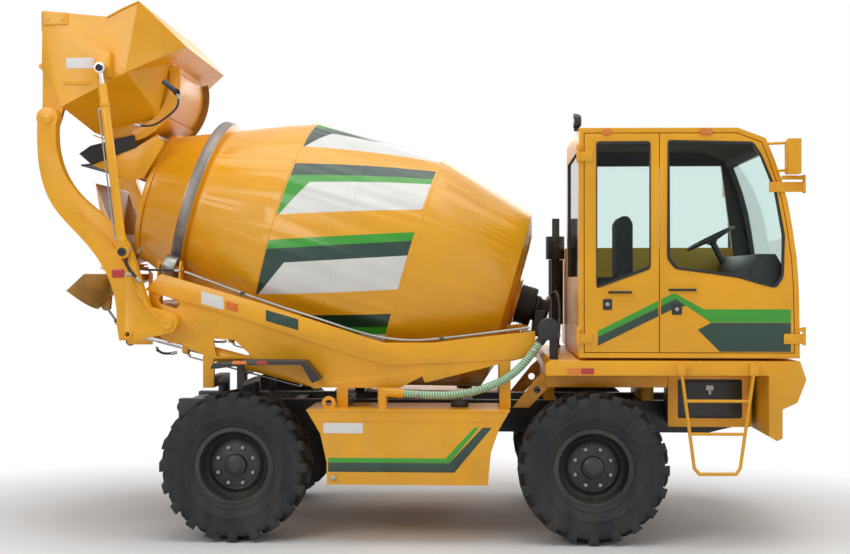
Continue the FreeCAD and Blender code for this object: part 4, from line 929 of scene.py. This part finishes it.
# ---- drum: weld seams, bolted hatch, drive flange bolts
drumDir = Vector((math.cos(drumAxis["lean"]), 0, -math.sin(drumAxis["lean"])))
drumUp = Vector((math.sin(drumAxis["lean"]), 0, math.cos(drumAxis["lean"])))
drumSeam = at(*drumAxis["seam"])


def onDrum(station, radius, degrees):
    a = math.radians(degrees)
    return drumSeam + drumDir * station * 0.001 + (drumUp * math.cos(a) + Vector((0, -math.sin(a),
                                                                                  0))) * radius * 0.001


seams = []
for station, radius in ((0, 930), (515, 930), (1031, 930), (-1098, 498)):
    seams.append(turned([(-5, radius - 1), (-3, radius + 1.5), (0, radius + 2.2), (3, radius + 1.5),
                         (5, radius - 1)],
                        drumSeam + drumDir * station * 0.001, drumDir, 160))
seams.append(turned([(-32, 728), (-32, 733), (-29, 735), (29, 735), (32, 733), (32, 728)],
                    drumSeam + drumDir * -0.691, drumDir, 160))
fit(joined(seams[:4]), "drumWeldSeams", "drum", looks["drumPaint"], 0, angle=60)
fit(seams[4], "drumRollingRing", "drum", looks["wornSteel"], 0, angle=40)
drumHatch = {"station": 500, "turn": 200, "bolts": 14}
hatchRing = [math.tau * i / drumHatch["bolts"] for i in range(drumHatch["bolts"])]
bolt = [onDrum(drumHatch["station"] + 150 * math.cos(a), 936,
               drumHatch["turn"] + 11 * math.sin(a)) for a in hatchRing]
hatchFoot = onDrum(drumHatch["station"], 0, drumHatch["turn"])
outward = (onDrum(drumHatch["station"], 930, drumHatch["turn"]) - hatchFoot).normalized()
boltsAt("drumHatchBolts", "drum", bolt, outward, 11, 8)
flange = [drumSeam + drumDir * 1.850 + (drumUp * math.cos(a) + Vector((0, math.sin(a), 0))) * 0.166
          for a in [math.tau * i / 16 for i in range(16)]]
boltsAt("drumFlangeBolts", "drum", flange, -drumDir, 12, 9, "zincPipe")
motor = turned([(2026, 0), (2026, 96), (2036, 100), (2062, 100), (2070, 88), (2080, 84)], drumSeam, drumDir, 40)
fins = [turned([(1906 + 22 * i, 148), (1908 + 22 * i, 156), (1914 + 22 * i, 156), (1916 + 22 * i, 148)],
               drumSeam, drumDir, 56)
        for i in range(5)]
fit(joined([motor] + fins), "gearboxRibs", "chassis", looks["castIron"], 1.2, 1)
hydraulicHose("drumMotorHoseUpper", "chassis",
              [drumSeam + drumDir * 2.11 + drumUp * 0.085, drumSeam + drumDir * 2.14 + drumUp * 0.14,
                                                at(1075, -60, 1790), at(1085, -250, 1700), at(1080, -420, 1560),
                                                at(1060, -560, 1440)], 12)
hydraulicHose("drumMotorHoseLower", "chassis",
              [drumSeam + drumDir * 2.11 - drumUp * 0.085, drumSeam + drumDir * 2.13 - drumUp * 0.15,
                                                at(1060, 60, 1560), at(1070, 260, 1480), at(1090, 400, 1420)],
              12)
print("stage: drum")


# ---- drum cradle: pipes along the rail, their clamps, blank labels, bolts and a hose
cradle = {"face": 960, "plateFace": 945, "pipe": 8}
for sign, tag in ((-1, "Right"), (1, "Left")):
    face = sign * cradle["face"]
    route = [(-1676, 1934), (-1140, 1734), (-701, 1596), (-381, 1488), (-127, 1438), (148, 1438), (839, 1532)]
    runs = [tubeAlong([at(x, sign * (944 - 20 * i), z + 2) for x, z in route],
                      cradle["pipe"]) for i in range(2)]
    fit(joined(runs), "cradlePipes" + tag, "chassis", looks["zincPipe"], 0, angle=60)
    clamps = [blockMm(x - 17, x + 17, sign * 912, sign * 956, z - 10, z + 14) for x,
              z in ((-1249, 1776), (203, 1447))]
    fit(joined(clamps), "cradlePipeClamps" + tag, "chassis", looks["greenDark"], 2)
    plate("cradleWhiteLabel" + tag, "chassis", -1550, -1385, 1680, 1772, face, sign, 1.2, "whiteLabel",
          6, -0.29)
    plate("cradleOrangeLabel" + tag, "chassis", -1368, -1279, 1652, 1712, face, sign, 1.2, "orangeLabel",
          6, -0.29)
    plate("cradleGreenLabel" + tag, "chassis", -1075, -838, 1545, 1625, face, sign, 1.2, "greenDark",
          6, -0.29)
    spots = [(-1602, 1593), (-1451, 1586), (-1598, 1480), (-1443, 1476)]
    boltsAt("sidePlateBolts" + tag, "chassis", [at(x, sign * cradle["plateFace"], z) for x, z in spots],
            (0, sign, 0), 12, 9)
    hydraulicHose("cradleHose" + tag, "chassis", [at(x, sign * 968, z) for x, z in (
        (-1990, 2110), (-2040, 2022), (-2010, 1950), (-1857, 1950), (-1700, 1944))], 8)
print("stage: cradle")

# ---- rear fenders' lamps and side reflectors
for sign, tag in ((-1, "Right"), (1, "Left")):
    face = sign * 1150
    plate("fenderReflector" + tag, "chassis", -1106, -1034, 1276, 1299, face, sign, 3, "redLens", 5)
    plate("fenderLamp" + tag, "chassis", -1285, -1180, 1275, 1299, face, sign, 4, "orangeLens", 8)

# ---- water tanks: folded lip, lifting eye, drain, blank label and the two stripes
tankSide = {"face": 1145, "light": [(-598, 613), (236, 613), (440, 832), (474, 832), (262, 580), (-598, 580)],
            "dark": [(-598, 579), (263, 579), (500, 832), (565, 832), (300, 513), (-598, 513)]}
for sign, tag in ((-1, "Right"), (1, "Left")):
    face = sign * tankSide["face"]
    for shape, look in (("light", "greenLight"), ("dark", "greenDark")):
        stripe = outlinePlate([tankSide[shape]], face, face + sign * 0.8, 0.2)
        fit(stripe, "tank" + shape.capitalize() + "Stripe" + tag, "chassis", looks[look], 0)
    plate("tankBlankLabel" + tag, "chassis", -632, -349, 787, 861, face, sign, 1.2, "whiteLabel",
          8)
    fold = [blockMm(-700, 640, face - sign * 4, face + sign * 5, 871, 879)]
    fold.append(blockMm(-755, 692, face - sign * 4, face + sign * 9, 945, 953))
    fit(joined(fold), "tankFolds" + tag, "chassis", looks["yellowPaint"], 2)
    eye = turned([(-7, 24), (-7, 46), (-4, 50), (4, 50), (7, 46), (7, 24), (-7, 24)],
                 at(-611, sign * 1000, 988), (0, 1, 0), 36)
    fit(eye, "tankLiftingEye" + tag, "chassis", looks["yellowPaint"], 0)
    cap = turned([(0, 62), (10, 66), (34, 66), (40, 60), (42, 46), (42, 0)], at(330, sign * 860, 952),
                 (0, 0, 1), 40)
    fit(cap, "tankFillerCap" + tag, "chassis", looks["plasticBlack"], 0.6, 1)
    drain = turned([(0, 20), (16, 20), (18, 14), (34, 14), (36, 10), (36, 0)], at(-560, face, 470),
                   (0, sign, 0), 6)
    fit(drain, "tankDrainPlug" + tag, "chassis", looks["zincPipe"], 0.6, 1)
print("stage: tanks")

# ---- below the cab: valance, bracket, tool box with its framed lid
underCab = {"bracket": [(717, 934), (840, 934), (985, 1085), (1100, 1085), (1100, 1200), (945, 1200),
                        (896, 1157)]}
for sign, tag in ((-1, "Right"), (1, "Left")):
    fit(blockMm(962, 1850, sign * 720, sign * 736, 1088, 1200), "cabValance" + tag, "chassis",
        looks["yellowPaint"],
        3)
    holes = [[(x + r * math.cos(a), z + r * math.sin(a)) for a in [math.tau * i / 28 for i in range(28)]]
             for x, z, r in ((1030, 1140, 38), (900, 1064, 27))]
    fit(outlinePlate([underCab["bracket"]] + holes, sign * 700, sign * 716, 2), "cabBracket" + tag, "chassis",
        looks["yellowPaint"], 0)
fit(blockMm(1862, 2446, -726, -424, 812, 1198), "toolBox", "chassis", looks["blackPaint"], 8)
lid = [(1852, 802), (2457, 802), (2457, 1200), (1852, 1200)]
opening = [(1924, 865), (2390, 865), (2390, 1150), (1924, 1150)]
fit(outlinePlate([roundedOutline(lid, 12), roundedOutline(opening, 18)], -726, -740, 2), "toolBoxFrame",
    "chassis",
    looks["yellowPaint"], 0)
fit(outlinePlate([roundedOutline([(1946, 884), (2368, 884), (2368, 1131), (1946, 1131)], 12)], -726, -733, 2),
    "toolBoxLid",
    "chassis", looks["blackPaint"], 0)
latch = [blockMm(2130, 2184, -733, -739, 1070, 1106), blockMm(2148, 2166, -733, -743, 1040, 1078)]
fit(joined(latch), "toolBoxLatch", "chassis", looks["zincPipe"], 1.5)
print("stage: below the cab")

# ---- platform: side lamps and reflectors, headlamps
for sign, tag in ((-1, "Right"), (1, "Left")):
    face = sign * 1150
    plate("platformReflector" + tag, "chassis", 1191, 1282, 1212, 1254, face, sign, 3, "redLens", 6)
    plate("platformLamp" + tag, "chassis", 1093, 1184, 1212, 1254, face, sign, 4, "orangeLens", 8)
    lens = blockMm(2754, 2758.5, sign * 822, sign * 925, 1092, 1168)
    fit(lens, "headlampLens" + tag, "chassis", looks["clearLens"], 1.6)
    turn = blockMm(2754, 2758.5, sign * 933, sign * 992, 1092, 1168)
    fit(turn, "turnLampLens" + tag, "chassis", looks["orangeLens"], 1.6)

# ---- cab side: stripes, seals, handles, marker lamps and work lamp
cabSide = {"face": -1150, "stripe": 0.8, "seal": 15,
           "rearWindow": [(1303, 1828), (1673, 1968), (1673, 2838), (1303, 2838)],
           "frontWindow": [(1806, 2030), (1860, 1960), (2120, 1930), (2290, 1905), (2430, 1860), (2540, 1830),
                           (2590, 1905),
                           (2595, 2190), (2540, 2500), (2445, 2740), (2388, 2830), (1806, 2848)]}
doorStripes = [
    ("rearDoorLight", "door_rear", "greenLight", [(1310, 1518), (1732, 1731), (1732, 1684), (1310, 1476)]),
    ("rearDoorDark", "door_rear", "greenDark", [(1310, 1475), (1732, 1683), (1732, 1621), (1310, 1413)]),
    ("frontDoorLight", "door_front", "greenLight",
     [(1750, 1741), (1826, 1779), (1854, 1779), (2048, 1671), (2650, 1671),
                                                    (2650, 1578), (2097, 1578), (1854, 1744), (1750, 1693)]),
    ("frontDoorDark", "door_front", "greenDark",
     [(1750, 1692), (1854, 1743), (1925, 1694), (1854, 1681), (1750, 1630)]),
    ("frontDoorPanel", "door_front", "greenDark",
     [(2097, 1576), (2650, 1576), (2650, 1374), (2159, 1373), (2006, 1527)])]
for name, body, look, outline in doorStripes:
    stripe = outlinePlate([outline], cabSide["face"], cabSide["face"] - cabSide["stripe"], 0.2)
    fit(stripe, name, body, looks[look], 0)


# the outline moved away from its middle
def grown(outline, distance):
    middle = Vector((sum(p[0] for p in outline), sum(p[1] for p in outline))) / len(outline)
    moved = []
    for p in outline:
        away = Vector(p) - middle
        moved.append(tuple(Vector(p) + away.normalized() * distance))
    return moved


for name, body, outline in (("rearDoorSeal", "door_rear", cabSide["rearWindow"]),
                            ("frontDoorSeal", "door_front", cabSide["frontWindow"])):
    rings = [roundedOutline(grown(outline, cabSide["seal"]), 26), roundedOutline(grown(outline, -9), 20)]
    fit(outlinePlate(rings, cabSide["face"] + 2, cabSide["face"] - 5, 2), name, body, looks["sealRubber"],
        0)
handles = [("frontDoorHandle", "door_front", 1812, 1990, 1807),
           ("rearDoorHandle", "door_rear", 1390, 1540, 1790)]
for name, body, x0, x1, z in handles:
    bar = tubeAlong([at(x0, -1150, z), at(x0 + 6, -1176, z), at(x0 + 30, -1184, z), at(x1 - 30, -1184, z),
                     at(x1 - 6, -1176, z),
                     at(x1, -1150, z)], 9)
    fit(bar, name, body, looks["blackPaint"], 0, angle=60)
for name, body, x0, x1, z0, z1 in (("frontDoorLock", "door_front", 1826, 1895, 1632, 1709),
                                   ("rearDoorLock", "door_rear", 1345, 1408, 1666, 1743)):
    plate(name, body, x0, x1, z0, z1, -1150.8, -1, 6, "plasticBlack", 10)
    barrelLock = turned([(0, 14), (4, 14), (6, 11), (6, 0)], at((x0 + x1) / 2, -1156, (z0 + z1) / 2),
                        (0, -1, 0), 28)
    fit(barrelLock, name + "Barrel", body, looks["zincPipe"], 0)
for index, (x0, x1) in enumerate(((1338, 1401), (2021, 2104))):
    plate("markerLamp%d" % index, "chassis", x0, x1, 2896, 2938, -1150, -1, 10, "orangeLens", 14)
lampBody = turned([(-40, 0), (-40, 34), (-30, 46), (0, 54), (14, 54), (14, 47), (4, 47)],
                  at(1157, -1090, 3002), (-1, 0, 0), 48)
lampLens = turned([(4, 48), (9, 44), (12, 30), (13, 0)], at(1157, -1090, 3002), (-1, 0, 0), 48)
fit(lampBody, "workLampBody", "chassis", looks["blackPaint"], 0)
fit(lampLens, "workLampLens", "chassis", looks["clearLens"], 0)
foot = [blockMm(1146, 1172, -1102, -1078, 2930, 2962), blockMm(1150, 1182, -1120, -1060, 2944, 2952)]
fit(joined(foot), "workLampFoot", "chassis", looks["blackPaint"], 1)
print("stage: cab side")

# ---- hood: two slats in each louvre recess
slats = []
for row in range(7):
    for lift in (11, 31):
        slats.append(blockMm(1344, 1816, 1143.5, 1149, 1420 + 84 * row + lift - 3, 1420 + 84 * row + lift + 3))
fit(joined(slats), "hoodLouvreSlats", "hood", looks["blackPaint"], 1, 1)

# ---- inside the cab: steering wheel with spokes and column
wheelSpec = {"centre": at(2215, -420, 2190), "rim": 187, "grip": 12, "tilt": Vector((-0.45, 0, 0.893))}
side = Vector((0, 1, 0))
ahead = side.cross(wheelSpec["tilt"]).normalized()
rim = turned([(wheelSpec["grip"] * math.cos(a), wheelSpec["rim"] + wheelSpec["grip"] * math.sin(a))
              for a in [math.tau * i / 16 for i in range(17)]], wheelSpec["centre"], wheelSpec["tilt"], 72)
spokes = []
for degrees in (90, 210, 330):
    a = math.radians(degrees)
    reach = (side * math.cos(a) + ahead * math.sin(a)) * 0.184
    spokes.append(tubeAlong([wheelSpec["centre"] - wheelSpec["tilt"] * 0.028, wheelSpec["centre"] + reach * 0.55
                             - wheelSpec["tilt"] * 0.016, wheelSpec["centre"] + reach], 8))
boss = turned([(-44, 0), (-44, 30), (-34, 40), (-16, 44), (-8, 38), (-6, 0)], wheelSpec["centre"],
              wheelSpec["tilt"], 40)
column = barrel(wheelSpec["centre"] - wheelSpec["tilt"] * 0.04,
                wheelSpec["centre"] - wheelSpec["tilt"] * 0.21, 24, 28)
steering = fit(joined([rim, boss, column] + spokes), "steeringWheel", "chassis", looks["plasticBlack"],
               0)
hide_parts("steering_wheel")

# ---- driver's seat: two padded parts on a pan, swelled as cloth
seat = {"cushion": ((1520, -640, 1722), (1960, -200, 1808)), "back": ((1512, -630, 1850), (1592, -210, 2360)),
        "pressure": 4.0, "frames": 20, "cap": 0.024, "voxel": 0.006}


def paddedPart(name, low, high):
    piece = blockMm(low[0], high[0], low[1], high[1], low[2], high[2])
    soften(piece, 26, 4, 60)
    pick(piece)
    shrink = piece.modifiers.new("even", 'REMESH')
    shrink.mode = 'VOXEL'
    shrink.voxel_size = seat["voxel"]
    applyAll(piece)
    before = [v.co.copy() for v in piece.data.vertices]
    cloth = piece.modifiers.new("swell", 'CLOTH')
    cloth.settings.use_pressure = True
    cloth.settings.uniform_pressure_force = seat["pressure"]
    cloth.settings.effector_weights.gravity = 0
    for frameNumber in range(1, seat["frames"] + 1):
        bpy.context.scene.frame_set(frameNumber)
    applyAll(piece)
    for vertex, start in zip(piece.data.vertices, before):
        move = vertex.co - start
        if move.length > seat["cap"]:
            vertex.co = start + move.normalized() * seat["cap"]
    bpy.context.scene.frame_set(1)
    smooth = piece.modifiers.new("smooth", 'SUBSURF')
    smooth.levels = 1
    smooth.render_levels = 1
    applyAll(piece)
    fit(piece, name, "chassis", looks["seatFabric"], 0, angle=60)
    return piece


cushion = paddedPart("seatCushion", seat["cushion"][0], seat["cushion"][1])
backRest = paddedPart("seatBackRest", seat["back"][0], seat["back"][1])
pan = fit(joined([blockMm(1500, 1975, -648, -192, 1690, 1712), blockMm(1500, 1508, -600, -240, 1700, 2300)]),
          "seatPan",
          "chassis", looks["plasticBlack"], 4)
for piece in (cushion, backRest, pan):
    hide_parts("driver_seat")
print("stage: cab inside")


# ---- studio: pale floor that keeps the shadow, white backdrop, soft lamps
studio = {"worldLight": 0.36, "floorSize": 60.0, "floorColour": (0.80, 0.80, 0.80)}


def makeFloor():
    deselect()
    bpy.ops.mesh.primitive_plane_add(size=studio["floorSize"], location=(0, 0, -0.001))
    floor = bpy.context.object
    floor.name = "studioFloor"
    material, tree, shader = newMaterial("floorPaper")
    place = tree.nodes.new("ShaderNodeTexCoord").outputs["Object"]
    cloud = grain(tree, place, 0.6, 3.0)
    base = studio["floorColour"]
    tree.links.new(mixed(tree, spread(tree, cloud, 0.3, 0.7), shade(base, 0.985), base),
                   shader.inputs["Base Color"])
    shader.inputs["Roughness"].default_value = 0.9
    # the paper fades into the white backdrop away from the machine
    away = tree.nodes.new("ShaderNodeVectorMath")
    away.operation = 'LENGTH'
    squeeze = tree.nodes.new("ShaderNodeMapping")
    squeeze.inputs["Scale"].default_value = (0.27, 0.42, 1.0)
    tree.links.new(place, squeeze.inputs["Vector"])
    tree.links.new(squeeze.outputs["Vector"], away.inputs[0])
    fade = spread(tree, away.outputs["Value"], 0.75, 1.5)
    light = tree.nodes.new("ShaderNodeEmission")
    light.inputs["Color"].default_value = (1, 1, 1, 1)
    light.inputs["Strength"].default_value = 1.0
    seen = tree.nodes.new("ShaderNodeLightPath")
    camShare = sums(tree, 'MAXIMUM',
                    sums(tree, 'MAXIMUM', seen.outputs["Is Camera Ray"], seen.outputs["Is Glossy Ray"]),
                    seen.outputs["Is Transmission Ray"])
    blendShader = tree.nodes.new("ShaderNodeMixShader")
    tree.links.new(sums(tree, 'MULTIPLY', fade, camShare), blendShader.inputs[0])
    tree.links.new(shader.outputs[0], blendShader.inputs[1])
    tree.links.new(light.outputs[0], blendShader.inputs[2])
    tree.links.new(blendShader.outputs[0], tree.nodes["Material Output"].inputs["Surface"])
    floor.data.materials.append(material)
    return floor


def makeWorld():
    world = bpy.data.worlds.new("studioWorld")
    bpy.context.scene.world = world
    world.use_nodes = True
    tree = world.node_tree
    back = tree.nodes["Background"]
    seen = tree.nodes.new("ShaderNodeLightPath")
    share = sums(tree, 'MAXIMUM',
                 sums(tree, 'MAXIMUM', seen.outputs["Is Camera Ray"], seen.outputs["Is Glossy Ray"]),
                 seen.outputs["Is Transmission Ray"])
    tree.links.new(spread(tree, share, 0.0, 1.0, studio["worldLight"], 1.0), back.inputs["Strength"])
    back.inputs["Color"].default_value = (1, 1, 1, 1)


def areaLamp(name, place, target, size, power):
    deselect()
    bpy.ops.object.light_add(type='AREA', location=place)
    lamp = bpy.context.object
    lamp.name = name
    lamp.data.energy = power
    lamp.data.shape = 'RECTANGLE'
    lamp.data.size, lamp.data.size_y = size
    lamp.rotation_euler = (Vector(target) - Vector(place)).to_track_quat('-Z', 'Y').to_euler()
    lamp.visible_glossy = True
    return lamp


makeFloor()
makeWorld()
areaLamp("skyPanel", (0.5, -1.5, 9.0), (0, 0, 1.5), (9.0, 7.0), 400)
areaLamp("keyPanel", (-5.5, -9.0, 6.5), (0, 0, 1.6), (5.0, 4.0), 260)
areaLamp("fillPanel", (8.5, -5.0, 3.5), (0.5, 0, 1.4), (4.0, 4.0), 85)
areaLamp("backPanel", (1.5, 9.0, 6.0), (0, 0, 1.8), (8.0, 4.0), 180)
bpy.context.scene.view_settings.view_transform = 'Standard'
print("stage: studio")

deselect()
